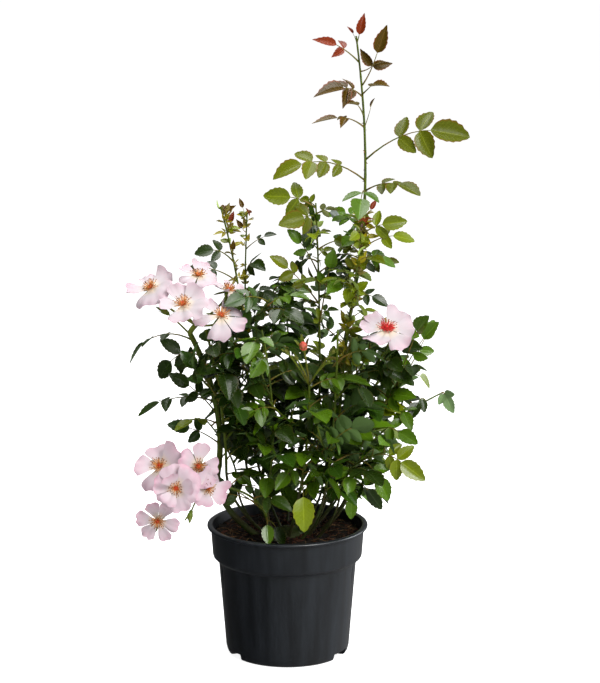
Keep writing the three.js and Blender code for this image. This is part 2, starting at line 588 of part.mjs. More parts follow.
/** The k-th leaf grown by rule on shoot i, one of several tries. */
function ruleLeaf(curves, row, i, k, attempt) {
  const [count, size, stalk, rise, first] = row.slice(6);
  const draw = stream(1000 * (i + 1) + k * 10 + attempt);
  const t = first + ((1 - first) * (k + draw(0.2, 0.8))) / count;
  const turn = radians(GOLDEN * k + 57 * i + draw(-25, 25) + attempt * 70);
  const climb = radians(rise + draw(-22, 18));
  const reach = stalk * draw(0.7, 1.25);
  draw();                        // the leaf's tint, which the solids don't show
  const pairs = draw() > 0.62 ? 3 : 2;
  const tip = radians(draw(28, 72));
  const way = turn + radians(draw(-40, 40));
  const length = size * draw(0.85, 1.15);
  const start = curves.stem(t);
  const end = start.clone().add(new THREE.Vector3(
    reach * Math.cos(turn) * Math.cos(climb),
    reach * Math.sin(turn) * Math.cos(climb),
    reach * Math.sin(climb) - reach * 0.28,
  ));
  const hint = new THREE.Vector3(
    Math.sin(tip) * Math.cos(way),
    Math.sin(tip) * Math.sin(way),
    Math.cos(tip),
  );
  return leafPlan(start, end, reach * 0.16, hint, stalk < 40 ? 1 : pairs, length, draw);
}

// ---- blooms ----------------------------------------------------------------------------------
/** A small bud: a six-sided body round a centre, longer along one direction. */
function bud(centre, along, radius) {
  const steps = spread(4);
  const points = steps.map((t) => centre.clone().addScaledVector(along, (2 * t - 1) * 1.5 * radius));
  return solid(limb(points, [0.45, 1, 0.95, 0.3].map((s) => s * radius), 6));
}

/** One bloom: a cupped star plate of petals with a raised heart, on its stalk from the fork. */
function bloom(fork, [, place, facing, diameter, petals], grow) {
  const centre = vec(place);
  const front = vec(facing).normalize();
  const a = new THREE.Vector3().crossVectors(front, UP).normalize();
  const b = new THREE.Vector3().crossVectors(front, a);
  const step = (2 * Math.PI) / petals;
  const rim = [];
  for (let k = 0; k < petals; k += 1) {
    PETAL_RIM.forEach(([turn, reach]) => {
      const angle = (k + turn) * step + place[0];
      const r = (reach * diameter) / 2 + grow;
      rim.push(centre.clone().addScaledVector(a, r * Math.cos(angle))
        .addScaledVector(b, r * Math.sin(angle)).addScaledVector(front, PETAL_CUP * r));
    });
  }
  const heart = centre.clone().addScaledVector(front, 1);
  const back = centre.clone().addScaledVector(front, -8);
  const lean = back.clone().addScaledVector(front, -0.3 * back.distanceTo(fork));
  const run = [...spread(4).map((t) => bend(fork, lean, back, t)), centre];
  const stalk = limb(run, [1.5, 1.4, 1.3, 1.8, 5].map((r) => r + grow), 4);
  return plate(rim, heart, front, 7 + 2 * grow).add(solid(stalk));
}

// ---- putting it together ---------------------------------------------------------------------
const group = new THREE.Group();
group.name = "potted_rose_bush";
group.add(mesh("pot", pot(), 0x26292b, 0.45));

const crownBody = rootCrown(0);
const crownRoom = rootCrown(GAP);
group.add(mesh("soil", soil(0).subtract(crownRoom), 0x2a1c15, 0.95));
group.add(mesh("root_crown", crownBody, 0x54402c, 0.85));
const ground = soil(GAP).add(crownRoom);

const shoots = SHOOTS.map(shootCurves);
const taken = [];                // every solid that later leaves have to miss, with its node's name
const claim = (owner, body) => taken.push({ owner, body, box: body.boundingBox() });

claim("ground", ground);
claim("pot", pot());

const apart = (a, b) => [0, 1, 2].some((i) => a.min[i] > b.max[i] || b.min[i] > a.max[i]);
const clear = (owners, body) => {
  const box = body.boundingBox();
  return taken.every((item) => owners.includes(item.owner) || apart(item.box, box)
    || item.body.intersect(body).isEmpty());
};

shoots.forEach((shoot) => {
  const steps = spread(CANE_RINGS);
  const points = steps.map(shoot.cane);
  points[CANE_RINGS - 2] = shoot.neck.clone().addScaledVector(shoot.setting, -GAP - 1);
  points[CANE_RINGS - 1] = shoot.neck.clone().addScaledVector(shoot.setting, -GAP);
  const cane = solid(limb(points, taper(steps, shoot.radii[0], shoot.radii[1]), 6)).subtract(ground);
  claim(`cane_${shoot.name}`, cane);
  group.add(mesh(`cane_${shoot.name}`, cane, 0x4c5a26, 0.7));
});

const masses = new Map();
const grow = (owner, body) => masses.set(owner, masses.has(owner) ? masses.get(owner).add(body) : body);

shoots.forEach((shoot) => {
  const steps = spread(STEM_RINGS);
  const owner = `foliage_${shoot.name}`;
  const body = solid(limb(steps.map(shoot.stem), taper(steps, shoot.radii[1], shoot.radii[2]), 4));
  claim(owner, body);
  grow(owner, body);
});

CLUSTERS.forEach(([name, carrier, place]) => {
  const shoot = shoots.find((s) => s.name === carrier);
  const fork = vec(place);
  const start = shoot.tip.clone().addScaledVector(shoot.leaving, GAP);
  const radius = shoot.radii[2];
  const neck = solid(limb([start, start.clone().addScaledVector(shoot.leaving, 2), fork],
    [radius, radius, radius], 5));
  claim(name, neck);
  grow(name, neck);
  BLOOMS.filter((row) => row[0] === name).forEach((row) => {
    grow(name, bloom(fork, row, 0));
    claim(name, bloom(fork, row, GUARD));
  });
});

const stemOf = (name) => shoots.find((s) => s.name === name);
BUDS.forEach(([name, t, place, radius]) => {
  const owner = `foliage_${name}`;
  const start = stemOf(name).stem(t);
  const end = vec(place);
  const lean = start.clone().lerp(end, 0.55).addScaledVector(stemOf(name).leaving, 6);
  const run = spread(4).map((q) => bend(start, lean, end, q));
  const stalk = (extra) => solid(limb(run, BUD_STALK_RADII.map((r) => r + extra), 3));
  const along = end.clone().sub(lean).normalize();
  const body = (extra) => stalk(extra).add(bud(end, along, radius + extra));
  if (clear([owner], body(GUARD))) {
    grow(owner, body(0));
    claim(owner, body(GUARD));
  }
});

LEAVES.forEach(([name, t, end, arch, tilt, pairs, size], i) => {
  const owner = `foliage_${name}`;
  const hint = new THREE.Vector3(0, -Math.sin(radians(tilt)), Math.cos(radians(tilt)));
  const plan = leafPlan(stemOf(name).stem(t), vec(end), arch, hint, pairs, size, stream(100 + i));
  const room = leafSolid(plan, GUARD, false);
  if (clear([owner, `leaf_of_${owner}`], room)) {
    grow(owner, leafSolid(plan, 0, false));
    claim(`leaf_of_${owner}`, room);
  }
});

/** Grows one rule leaf where its tips stay in the crown and it misses everything else. */
function tryLeaf(owner, plan) {
  const tips = plan.blades.map((b) => b.base.clone().addScaledVector(b.along, b.length));
  if (!tips.every(inCrown)) {
    return false;
  }
  const room = leafSolid(plan, GUARD, true);
  if (!clear([owner], room)) {
    return false;
  }
  grow(owner, leafSolid(plan, 0, true));
  claim(`leaf_of_${owner}`, room);
  return true;
}

SHOOTS.forEach((row, i) => {
  for (let k = 0; k < row[6]; k += 1) {
    let placed = false;
    for (let attempt = 0; attempt < TRIES && !placed; attempt += 1) {
      placed = tryLeaf(`foliage_${row[0]}`, ruleLeaf(shoots[i], row, i, k, attempt));
    }
  }
});

/** A mass's one outer body, with any pocket that its crossing leaves close off filled in. */
function outerBody(body) {
  return body.decompose().reduce((best, piece) => (piece.volume() > best.volume() ? piece : best));
}

masses.forEach((parts, owner) => {
  const body = outerBody(parts);
  const flowers = owner.startsWith("bloom");
  group.add(mesh(owner, body, flowers ? 0xf0dbe4 : 0x3c6420, flowers ? 0.6 : 0.5));
});

export default group;
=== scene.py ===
"""Shrub rose in a round black nursery pot: its looks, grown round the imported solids.

Laid out as an add-on with one operator for each kind of piece. Sizes in the tables are millimetres
in the part's own frame: +Z up, the pot's underside on z = 0, the front towards -Y.
"""
import math

import bpy
import numpy as np
from bpy.props import FloatProperty, FloatVectorProperty, PointerProperty
from bpy.types import Operator, Panel, PropertyGroup
from mathutils.bvhtree import BVHTree
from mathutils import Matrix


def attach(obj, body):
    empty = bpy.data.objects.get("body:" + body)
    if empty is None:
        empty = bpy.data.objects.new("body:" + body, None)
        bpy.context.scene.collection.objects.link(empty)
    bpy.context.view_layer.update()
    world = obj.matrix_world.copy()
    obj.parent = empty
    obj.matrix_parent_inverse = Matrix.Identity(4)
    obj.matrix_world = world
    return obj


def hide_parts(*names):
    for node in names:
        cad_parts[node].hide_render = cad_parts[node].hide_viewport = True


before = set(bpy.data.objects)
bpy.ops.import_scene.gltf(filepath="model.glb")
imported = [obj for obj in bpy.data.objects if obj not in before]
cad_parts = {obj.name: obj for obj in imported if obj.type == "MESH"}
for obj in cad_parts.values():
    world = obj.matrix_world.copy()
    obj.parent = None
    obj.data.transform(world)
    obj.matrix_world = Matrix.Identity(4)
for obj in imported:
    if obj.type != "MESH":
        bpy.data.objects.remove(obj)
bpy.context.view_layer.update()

bl_info = {
    "name": "Potted shrub rose",
    "version": (1, 0, 0),
    "blender": (4, 5, 0),
    "location": "3D View > Sidebar > Rose",
    "description": "Grows a flowering shrub rose in its nursery pot, piece by piece",
    "category": "Object",
}

# ---- sizes and tables, in millimetres -----------------------------------------------------------
MM = 0.001
UP = np.array([0.0, 0.0, 1.0])
GOLDEN = 137.5
SOIL_Z = 170.0
SOIL_BUMP = 2.2
FOOT_Z = 158.0
ROOT_RADIUS = 25.0
ROOT_RISE = 9.0
POT_HEIGHT = 184.0
LIP_RADIUS = 112.5
COLLAR_TOP = 107.4
COLLAR_FOOT = 104.8
COLLAR_FOOT_Z = 142.0
COLLAR_RISE = 36.4
BODY_TOP = 96.7
BODY_TOP_Z = 134.0
BODY_FOOT = 86.0
FLAT_RADIUS = 81.0
WALL = 2.6
FLOOR_TOP = 12.5
NOTCH_ANGLES = (-150.0, -30.0, 90.0)
NOTCH_HEIGHT = 9.5
NOTCH_DEPTH = 17.0
NOTCH_WIDTH = 30.5
FLUTE_ANGLES = (-161.0, -19.0, 19.0, 161.0)
FLUTE_FOOT_Z = 92.0
FLUTE_RISE = 39.0
FLUTE_DEPTH = 1.5
LITTER_RADIUS = 98.0
CROWN_LEAN = 0.196
CROWN_DEPTH = 150.0
CROWN_MIDDLE_Y = 6.0
CROWN_MIDDLE_Z = 380.0
CROWN_HALF_HEIGHT = 260.0
SOIL_CLEARANCE = 14.0

# The growing rule: the modulus of its streams, how often a leaf is tried and how far it turns each
# time in degrees, and where the seeds of each kind start
MODULUS = 2 ** 31 - 1
TRIES = 8
RETRY_TURN = 70
PLACED_SEED = 100
STEM_SEED = 1000
TWIG_SEED = 90000
TWIG_LEAF_SEED = 200000
TUFT_SEED = 300000
CANE_LEAF_SEED = 400000

# The camera: sideways place in metres, degrees down, lens and sensor in millimetres
CAMERA_SIDE = 0.0176
CAMERA_DOWN = 11.07
CAMERA_LENS = 112.955
CAMERA_SENSOR = 36

# shoot, foot, bow, neck, tip, radii at foot, neck and tip, leaves by rule, leaflet length, leaf stalk
# length, rise in degrees, first leaf's place along the stem, side twigs, tints of its leaves
SHOOTS = (
    ("leader", (9, 9), (10, 14), (92, 22, 502), (93, 4, 860),
     (3.8, 2.5, 1.2), 26, 21, 46, 34, 0, 0, "mlmb"),
    ("lime_shoot", (23, -14), (20, -12), (70, -34, 311), (107, -26, 623),
     (2.3, 1.9, 1.1), 15, 18, 30, 52, 0.3, 0, "llml"),
    ("side_shoot", (10, -9), (14, -4), (43, -4, 304), (39, -10, 636),
     (2.3, 1.8, 1.1), 12, 25, 44, 38, 0.1, 2, "dmml"),
    ("left_twin", (-12, 9), (-30, 6), (-58, 14, 300), (-90, 6, 626),
     (1.9, 1.8, 1.2), 9, 30, 50, 38, 0.02, 1, "dmh"),
    ("left_fork", (-3, 18), (-16, 12), (-50, 34, 309), (-55, 24, 618),
     (1.8, 1.6, 1), 9, 30, 50, 38, 0.04, 1, "dmh"),
    ("left_main", (-28, -9), (-42, -10), (-96, -16, 264), (-132, -34, 460),
     (4.2, 4.2, 3.6), 11, 33, 55, 38, 0.03, 2, "dh"),
    ("left_second", (-17, -2), (-34, -2), (-84, -34, 269), (-109, -62, 471),
     (1.9, 1.9, 1.7), 13, 33, 52, 38, 0.03, 2, "ddh"),
    ("low_left", (-15, -35), (-4, -8), (-27, -54, 199), (-109, -82, 262),
     (1.8, 1.6, 1.7), 3, 26, 40, 38, 0.02, 0, "dm"),
    ("centre", (-1, -13), (2, -8), (18, -46, 243), (30, -66, 397),
     (2.4, 2, 1.5), 8, 33, 58, 38, 0.1, 2, "dmdhm"),
    ("centre_left", (-13, -18), (-14, -8), (-26, -50, 247), (-34, -58, 470),
     (1.8, 1.7, 1.3), 8, 33, 58, 38, 0.03, 2, "ddhm"),
    ("centre_right", (12, -25), (14, -12), (53, -56, 249), (68, -84, 475),
     (1.9, 1.8, 1.3), 8, 33, 58, 38, 0.03, 2, "dmhm"),
    ("right_main", (35, -3), (22, -6), (90, -14, 249), (176, -34, 410),
     (1.9, 1.8, 1.3), 13, 31, 56, 38, 0.03, 2, "mdmhl"),
    ("right_arch", (34, 11), (20, 10), (85, 14, 230), (217, 6, 370),
     (1.7, 1.5, 1.1), 9, 30, 58, 38, 0.03, 1, "mdmh"),
    ("right_low", (34, -18), (16, -14), (73, -50, 242), (134, -84, 307),
     (1.6, 1.5, 1.2), 9, 30, 44, 38, 0.03, 1, "ddm"),
    ("back_left", (-16, 24), (-14, 22), (-37, 56, 219), (-76, 92, 427),
     (1.8, 1.6, 1.2), 7, 29, 58, 38, 0.03, 2, "ddhm"),
    ("back_centre", (-1, 31), (0, 22), (3, 66, 216), (-2, 98, 469),
     (1.8, 1.6, 1.2), 7, 29, 58, 38, 0.03, 2, "dmdh"),
    ("back_right", (12, 24), (14, 22), (49, 60, 218), (89, 98, 462),
     (1.8, 1.6, 1.2), 7, 29, 58, 38, 0.03, 2, "dhml"),
    ("left_low_back", (-28, 10), (-20, 14), (-70, 44, 222), (-117, 84, 312),
     (1.7, 1.5, 1.1), 8, 30, 58, 38, 0.03, 1, "dh"),
    ("right_low_back", (24, 20), (18, 20), (77, 50, 221), (146, 94, 339),
     (1.6, 1.4, 1.1), 8, 30, 58, 38, 0.03, 1, "ddm"),
    ("flower_shoot", (22, 1), (26, -6), (87, 4, 288), (137, -52, 447),
     (1.8, 1.7, 1.5), 8, 30, 58, 38, 0.03, 1, "dmhl"),
)

# Leaves of the outline: shoot, place along its stem, end of the stalk, arch, tip to the front in
# degrees, pairs of leaflets, leaflet length, tint
LEAVES = (
    ("leader", 0.91, (67, 2, 848), 4, 40, 1, 28, "r"),
    ("leader", 0.83, (121, -8, 838), -10, 70, 1, 32, "b"),
    ("leader", 0.98, (97, 0, 862), -2, 70, 0, 23, "r"),
    ("leader", 0.97, (89, 6, 863), 2, 20, 0, 10, "r"),
    ("leader", 0.79, (77, -8, 791), 7, 42, 2, 36, "b"),
    ("leader", 0.80, (112, -8, 793), 0, 24, 0, 30, "b"),
    ("leader", 0.68, (69, 4, 750), 9, 14, 1, 28, "b"),
    ("leader", 0.68, (113, 0, 764), -2, 20, 0, 12, "b"),
    ("leader", 0.72, (96, 0, 767), 3, 16, 0, 22, "b"),
    ("leader", 0.88, (114, -4, 820), -3, 20, 0, 18, "b"),
    ("leader", 0.56, (193, -12, 735), 20, 55, 2, 45, "o"),
    ("leader", 0.48, (20, -8, 689), 24, 40, 3, 36, "o"),
    ("leader", 0.44, (150, -20, 663), 10, 14, 2, 31, "o"),
    ("leader", 0.43, (99, -60, 648), 14, 60, 1, 32, "m"),
    ("leader", 0.29, (81, 30, 616), 10, 40, 1, 24, "m"),
    ("leader", 0.15, (117, 34, 557), 10, 40, 1, 22, "d"),
    ("leader", 0.05, (70, 30, 529), 10, 45, 2, 24, "d"),
    ("side_shoot", 0.98, (5, -18, 645), 6, 78, 1, 30, "l"),
    ("side_shoot", 0.95, (23, -24, 619), 2, 78, 1, 30, "o"),
    ("side_shoot", 0.90, (35, -14, 604), 8, 65, 1, 24, "d"),
    ("side_shoot", 0.96, (58, 0, 622), 4, 50, 0, 20, "d"),
    ("side_shoot", 0.82, (79, 4, 583), 8, 30, 1, 20, "m"),
    ("side_shoot", 0.77, (18, 20, 550), 10, 40, 2, 22, "d"),
    ("lime_shoot", 0.99, (113, -26, 629), -2, 60, 0, 13, "r"),
    ("lime_shoot", 0.92, (128, -36, 610), 4, 76, 1, 28, "l"),
    ("lime_shoot", 0.85, (143, -30, 594), 10, 35, 1, 25, "l"),
    ("lime_shoot", 0.81, (126, -30, 564), 8, 40, 1, 20, "m"),
    ("lime_shoot", 0.65, (115, -40, 513), 8, 50, 1, 20, "d"),
    ("left_twin", 0.99, (-83, 4, 623), -2, 60, 0, 12, "b"),
    ("left_twin", 0.91, (-78, 4, 607), -2, 50, 0, 14, "r"),
    ("left_twin", 0.81, (-74, -4, 571), 0, 60, 0, 13, "b"),
    ("left_twin", 0.79, (-100, -6, 571), 8, 55, 1, 22, "d"),
    ("left_twin", 0.71, (-112, -6, 546), 8, 40, 1, 22, "d"),
    ("left_fork", 0.98, (-61, 24, 625), -2, 60, 0, 12, "b"),
    ("left_fork", 0.92, (-62, 22, 597), -2, 60, 0, 12, "b"),
    ("left_fork", 0.85, (-32, 24, 585), 4, 30, 1, 14, "d"),
    ("left_fork", 0.74, (-48, 8, 551), 10, 50, 1, 24, "d"),
    ("left_fork", 0.63, (-35, 10, 510), 12, 40, 2, 24, "d"),
    ("left_main", 0.95, (-196, -24, 446), 22, 6, 2, 28, "d"),
    ("left_main", 0.84, (-159, -24, 420), 18, 60, 1, 30, "d"),
    ("left_main", 0.52, (-175, -26, 363), 14, 8, 2, 27, "d"),
    ("left_main", 0.35, (-130, -40, 341), 8, 12, 1, 24, "l"),
    ("low_left", 0.34, (-86, -64, 244), 4, 60, 1, 19, "d"),
    ("low_left", 0.08, (-27, -68, 200), 6, 60, 0, 22, "m"),
    ("low_left", 0.03, (-16, -64, 196), 6, 35, 0, 22, "d"),
    ("centre", 0.11, (22, -84, 244), 16, 74, 0, 39, "l"),
    ("centre", 0.21, (1, -84, 276), 12, 70, 1, 26, "m"),
    ("right_main", 0.77, (187, -30, 451), -8, 60, 2, 24, "m"),
    ("right_main", 0.96, (170, -44, 417), 6, 40, 1, 26, "d"),
    ("right_main", 0.95, (182, -20, 398), 4, 40, 0, 24, "l"),
    ("flower_shoot", 0.78, (138, -70, 430), 10, 60, 1, 26, "d"),
    ("flower_shoot", 0.74, (155, -60, 445), 14, 55, 1, 26, "d"),
    ("right_arch", 0.99, (220, 4, 365), 4, -60, 1, 20, "g"),
    ("right_arch", 0.89, (181, -10, 359), 10, 40, 1, 22, "d"),
    ("right_arch", 0.69, (160, -20, 348), 12, 55, 2, 24, "m"),
    ("right_low", 0.88, (154, -92, 295), 8, 76, 2, 31, "l"),
    ("right_low", 0.27, (110, -78, 252), 10, 60, 1, 26, "d"),
    ("right_low", 0.45, (85, -88, 274), 10, 60, 2, 24, "m"),
    ("right_low", 0.66, (123, -94, 273), 10, 60, 1, 26, "m"),
    ("side_shoot", 0.6, (1, -12, 547), 6, 45, 2, 24, "o"),
    ("side_shoot", 0.72, (19, -16, 582), 6, 50, 1, 20, "m"),
    ("side_shoot", 0.52, (58, -30, 550), 6, 55, 1, 22, "m"),
    ("leader", 0.1, (132, -6, 554), 6, 40, 1, 20, "o"),
    ("leader", 0.22, (88, -20, 590), 6, 50, 1, 22, "m"),
    ("leader", 0.04, (73, -20, 528), 6, 55, 1, 24, "m"),
    ("left_main", 0.62, (-146, -36, 435), 6, 55, 1, 25, "d"),
    ("left_main", 0.42, (-134, -36, 388), 6, 60, 1, 25, "d"),
    ("left_main", 0.2, (-134, -30, 327), 6, 60, 1, 24, "h"),
    ("left_second", 0.5, (-123, -60, 418), 6, 60, 1, 24, "h"),
    ("low_left", 0.2, (-84, -60, 253), 6, 60, 1, 22, "d"),
    ("right_main", 0.5, (153, -40, 324), 6, 60, 1, 26, "m"),
    ("right_low", 0.5, (88, -80, 241), 6, 60, 1, 24, "m"),
    ("centre_left", 0.05, (-26, -70, 267), 8, 64, 1, 26, "m"),
    ("right_main", 0.8, (173, -104, 476), 8, 50, 0, 26, "m"),
    ("right_main", 0.72, (184, -70, 461), 8, 50, 1, 24, "m"),
)

# The crown's section: height, left edge, right edge
CROWN = np.array((
    (205, -35, 59), (216, -55, 140), (245, -71, 146), (274, -85, 151), (302, -113, 162),
    (331, -124, 167), (359, -134, 181), (388, -137, 194), (416, -139, 202), (444, -136, 210),
    (472, -103, 160), (500, -86, 119), (521, -83, 116), (553, 1, 157), (583, 17, 137),
    (618, 58, 132),
), float)

# The space kept free for the truss of buds: x and z of its middle, half width, half height, back
TRUSS = (28.0, 436.0, 38.0, 38.0, -56.0)

# Small young leaves close to a stem: shoot, first place along it, how many, leaflet length, leaf
# stalk, tints
TUFTS = (
    ("left_twin", 0.4, 40, 11, 7, "yyly"),
    ("left_twin", 0.9, 14, 13, 5, "ybyr"),
    ("left_fork", 0.45, 20, 9, 7, "yly"),
    ("left_fork", 0.93, 5, 11, 6, "yrb"),
    ("lime_shoot", 0.35, 46, 15, 10, "yylyo"),
    ("lime_shoot", 0.85, 14, 15, 8, "ylyr"),
    ("side_shoot", 0.5, 16, 15, 14, "lmo"),
)

# Leaves by rule on a cane: how many, first place along it, leaf stalk, rise in degrees
CANE_LEAVES = (4, 0.5, 44, 14)

# Clusters of blooms: name, shoot that carries it, fork of the stalks
CLUSTERS = (
    ("blooms_upper", "left_main", (-124, -44, 474)),
    ("blooms_lower", "low_left", (-118, -86, 262)),
    ("bloom_right", "flower_shoot", (138, -57, 454)),
)
# cluster, centre, facing direction, diameter, petals, width of the petals, cup, inner petals
BLOOMS = (
    ("blooms_upper", (-183, -60, 528), (-0.3, -0.55, 0.78), 68, 5, 0.86, 0.1, 0),
    ("blooms_upper", (-120, -40, 541), (0.1, -0.4, 0.9), 60, 5, 0.84, 0.16, 0),
    ("blooms_upper", (-138, -92, 511), (-0.1, -0.62, 0.76), 72, 5, 0.85, 0.1, 0),
    ("blooms_upper", (-88, -84, 494), (0.25, -0.55, 0.78), 76, 5, 0.7, -0.24, 0),
    ("blooms_upper", (-79, -50, 523), (0.3, -0.3, 0.9), 54, 5, 0.9, 0.2, 0),
    ("blooms_lower", (-172, -84, 287), (-0.35, -0.75, 0.5), 76, 5, 0.9, 0.2, 0),
    ("blooms_lower", (-148, -128, 268), (0, -1, 0.15), 68, 6, 0.95, 0.14, 3),
    ("blooms_lower", (-120, -96, 290), (0.35, -0.85, 0.15), 64, 5, 0.84, 0.3, 0),
    ("blooms_lower", (-108, -100, 262), (0.7, -0.7, 0.1), 64, 5, 0.95, 0.15, 0),
    ("blooms_lower", (-174, -112, 218), (-0.1, -1, -0.05), 62, 6, 0.66, 0.04, 0),
    ("bloom_right", (134, -82, 476), (0.04, -0.5, 0.86), 84, 6, 0.84, 0.0, 0),
)
# Buds and hips: shoot, place along its stem, end of the stalk, radius, kind
BUDS = (
    ("centre", 1.0, (22, -116, 459), 5.8, "pink"),
    ("centre", 0.99, (0, -116, 451), 3.4, "green"),
    ("centre", 1.0, (12, -114, 443), 3.2, "green"),
    ("centre", 1.0, (55, -114, 437), 3.0, "green"),
    ("centre", 0.99, (61, -116, 451), 3.0, "green"),
    ("left_main", 0.99, (-165, -60, 496), 4.6, "green"),
    ("low_left", 0.99, (-131, -104, 223), 4.2, "green"),
)

# Leaf tints: letter, plain name, colours of the underside and the rim, strength of the rim
TINTS = (
    ("d", "deep", (74, 100, 48), (96, 70, 30), 0.22),
    ("h", "holly", (74, 100, 48), (96, 70, 30), 0.22),
    ("m", "mid", (74, 100, 48), (96, 70, 30), 0.22),
    ("l", "lime", (150, 172, 84), (150, 120, 40), 0.18),
    ("b", "bronze", (128, 112, 66), (150, 60, 34), 0.55),
    ("r", "red", (150, 84, 56), (120, 40, 26), 0.6),
    ("y", "gold", (140, 128, 60), (130, 60, 24), 0.45),
    ("o", "olive", (126, 132, 80), (122, 62, 24), 0.5),
    ("g", "pale", (74, 100, 48), (96, 70, 30), 0.22),
)
NARROW_TINTS = "bry"
DULL_TINTS = "bro"
UNDERSIDE_TINT = "g"


# ---- small tools --------------------------------------------------------------------------------
def vec(p):
    """A point or direction as an array of floats."""
    return np.array(p, float)


def unit(v):
    """The direction of each vector in an array."""
    return v / np.linalg.norm(v, axis=-1, keepdims=True)


def stream(seed):
    """A seeded stream of numbers: each value is the last one times 48271, modulo 2^31 - 1."""
    state = (seed * 7919 + 104729) % MODULUS

    def draw(low=0.0, high=1.0):
        nonlocal state
        state = state * 48271 % MODULUS
        return low + (high - low) * state / MODULUS

    for _ in range(3):
        draw()
    return draw


def bend(a, c, b, t):
    """The point at t on the curve from a to b that leans towards c: a(1-t)^2 + 2ct(1-t) + bt^2."""
    t = np.asarray(t, float)[..., None]
    return a * (1 - t) ** 2 + c * 2 * t * (1 - t) + b * t * t


def linear(srgb):
    """A colour given as 0 to 255 display values, as the linear values that Blender's nodes want."""
    c = np.array(srgb, float) / 255
    return tuple(np.where(c <= 0.04045, c / 12.92, ((c + 0.055) / 1.055) ** 2.4))


def spoke(a, b, angle):
    """The direction a cos(angle) + b sin(angle), for one angle or many."""
    angle = np.asarray(angle, float)[..., None]
    return a * np.cos(angle) + b * np.sin(angle)


def face_axes(front, up=UP):
    """Two directions square to each other and to the front."""
    side = unit(np.cross(front, up))
    return side, np.cross(front, side)


def circle(count):
    """Angles spread evenly round a circle."""
    return 2 * np.pi * np.arange(count) / count


def strewn(rng, count, reach):
    """Points strewn evenly over a disc, as (count, 2)."""
    radius = reach * np.sqrt(rng.uniform(0.02, 1, count))
    angle = rng.uniform(0, 2 * np.pi, count)
    return np.stack([radius * np.cos(angle), radius * np.sin(angle)], -1)


def lumps(x, y, cell, seed):
    """Smooth noise from -1 to 1: seeded values on a square lattice, blended by s^2 (3 - 2s) between them."""
    size = 97
    values = np.random.default_rng(seed).uniform(-1, 1, (size, size))
    u, v = x / cell, y / cell
    i, j = np.floor(u).astype(int), np.floor(v).astype(int)
    s, t = u - i, v - j
    s, t = s * s * (3 - 2 * s), t * t * (3 - 2 * t)
    i0, i1, j0, j1 = i % size, (i + 1) % size, j % size, (j + 1) % size
    low = values[i0, j0] * (1 - s) + values[i1, j0] * s
    high = values[i0, j1] * (1 - s) + values[i1, j1] * s
    return low * (1 - t) + high * t


class Patches:
    """Surfaces gathered for one piece: points, faces of three or four corners, UV and each point's tone."""

    def __init__(self):
        self.points, self.quads, self.tris, self.uvs, self.tones = [], [], [], [], []
        self.count = 0

    def add(self, points, quads, tris, uv=None, tone=0.5):
        """Adds K copies of one layout: points (K, n, 3), quads (q, 4), tris (t, 3), UV (n, 2), tone (K,)."""
        points = points.reshape((-1,) + points.shape[-2:])
        copies, n = points.shape[:2]
        start = self.count + n * np.arange(copies)[:, None, None]
        self.points.append(points.reshape(-1, 3))
        if len(quads):
            self.quads.append((start + np.asarray(quads)[None]).reshape(-1, 4))
        if len(tris):
            self.tris.append((start + np.asarray(tris)[None]).reshape(-1, 3))
        uv = np.zeros((n, 2)) if uv is None else uv
        self.uvs.append(np.broadcast_to(uv, (copies, n, 2)).reshape(-1, 2))
        self.tones.append(np.broadcast_to(np.reshape(tone, (-1, 1)), (copies, n)).reshape(-1))
        self.count += copies * n

    def piece(self, name, material, slot, nodes=(), sharp=None):
        """One object at the origin from all the patches, riding on the body, in place of the given nodes."""
        points = np.concatenate(self.points) * MM
        quads = np.concatenate(self.quads) if self.quads else np.zeros((0, 4), int)
        tris = np.concatenate(self.tris) if self.tris else np.zeros((0, 3), int)
        corners = np.concatenate([quads.ravel(), tris.ravel()])
        starts = np.concatenate([4 * np.arange(len(quads)), 4 * len(quads) + 3 * np.arange(len(tris))])
        mesh = bpy.data.meshes.new(name)
        mesh.vertices.add(len(points))
        mesh.vertices.foreach_set("co", points.ravel().astype(np.float32))
        mesh.loops.add(len(corners))
        mesh.loops.foreach_set("vertex_index", corners.astype(np.int32))
        mesh.polygons.add(len(starts))
        mesh.polygons.foreach_set("loop_start", starts.astype(np.int32))
        mesh.polygons.foreach_set("use_smooth", np.ones(len(starts), bool))
        uv = mesh.uv_layers.new(name="UVMap")
        uv.data.foreach_set("uv", np.concatenate(self.uvs)[corners].ravel().astype(np.float32))
        tone = mesh.attributes.new("tone", "FLOAT", "POINT")
        tone.data.foreach_set("value", np.concatenate(self.tones).astype(np.float32))
        mesh.update(calc_edges=True)
        if mesh.validate():
            raise RuntimeError(f"{name} has a bad face")
        if sharp is not None:
            mesh.set_sharp_from_angle(angle=math.radians(sharp))
        mesh.materials.append(material)
        item = bpy.data.objects.new(name, mesh)
        bpy.context.scene.collection.objects.link(item)
        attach(item, "root")
        if nodes:
            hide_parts(*sorted(set(nodes)))
        return item


def grid_faces(rows, columns, closed=False):
    """Faces of a grid of rows by columns of points, joined round when closed."""
    i = np.arange(rows - 1)[:, None]
    j = np.arange(columns if closed else columns - 1)[None, :]
    k = (j + 1) % columns
    here, above = i * columns, (i + 1) * columns
    return np.stack([here + j, here + k, above + k, above + j], -1).reshape(-1, 4)


def ring_faces(rows, columns):
    """Faces over closed rings of points that end on one point below the first ring and one above the last."""
    k = np.arange(columns)
    after = (k + 1) % columns
    poles, last = rows * columns, (rows - 1) * columns
    low = np.stack([np.full(columns, poles), after, k], -1)
    high = np.stack([np.full(columns, poles + 1), last + k, last + after], -1)
    return grid_faces(rows, columns, True), np.concatenate([low, high])


def closed_skin(rings, start, end):
    """The skin (points, quads, tris) over rings (rows, columns, 3) that closes on two points."""
    return np.concatenate([rings.reshape(-1, 3), [start, end]])[None], *ring_faces(*rings.shape[:2])


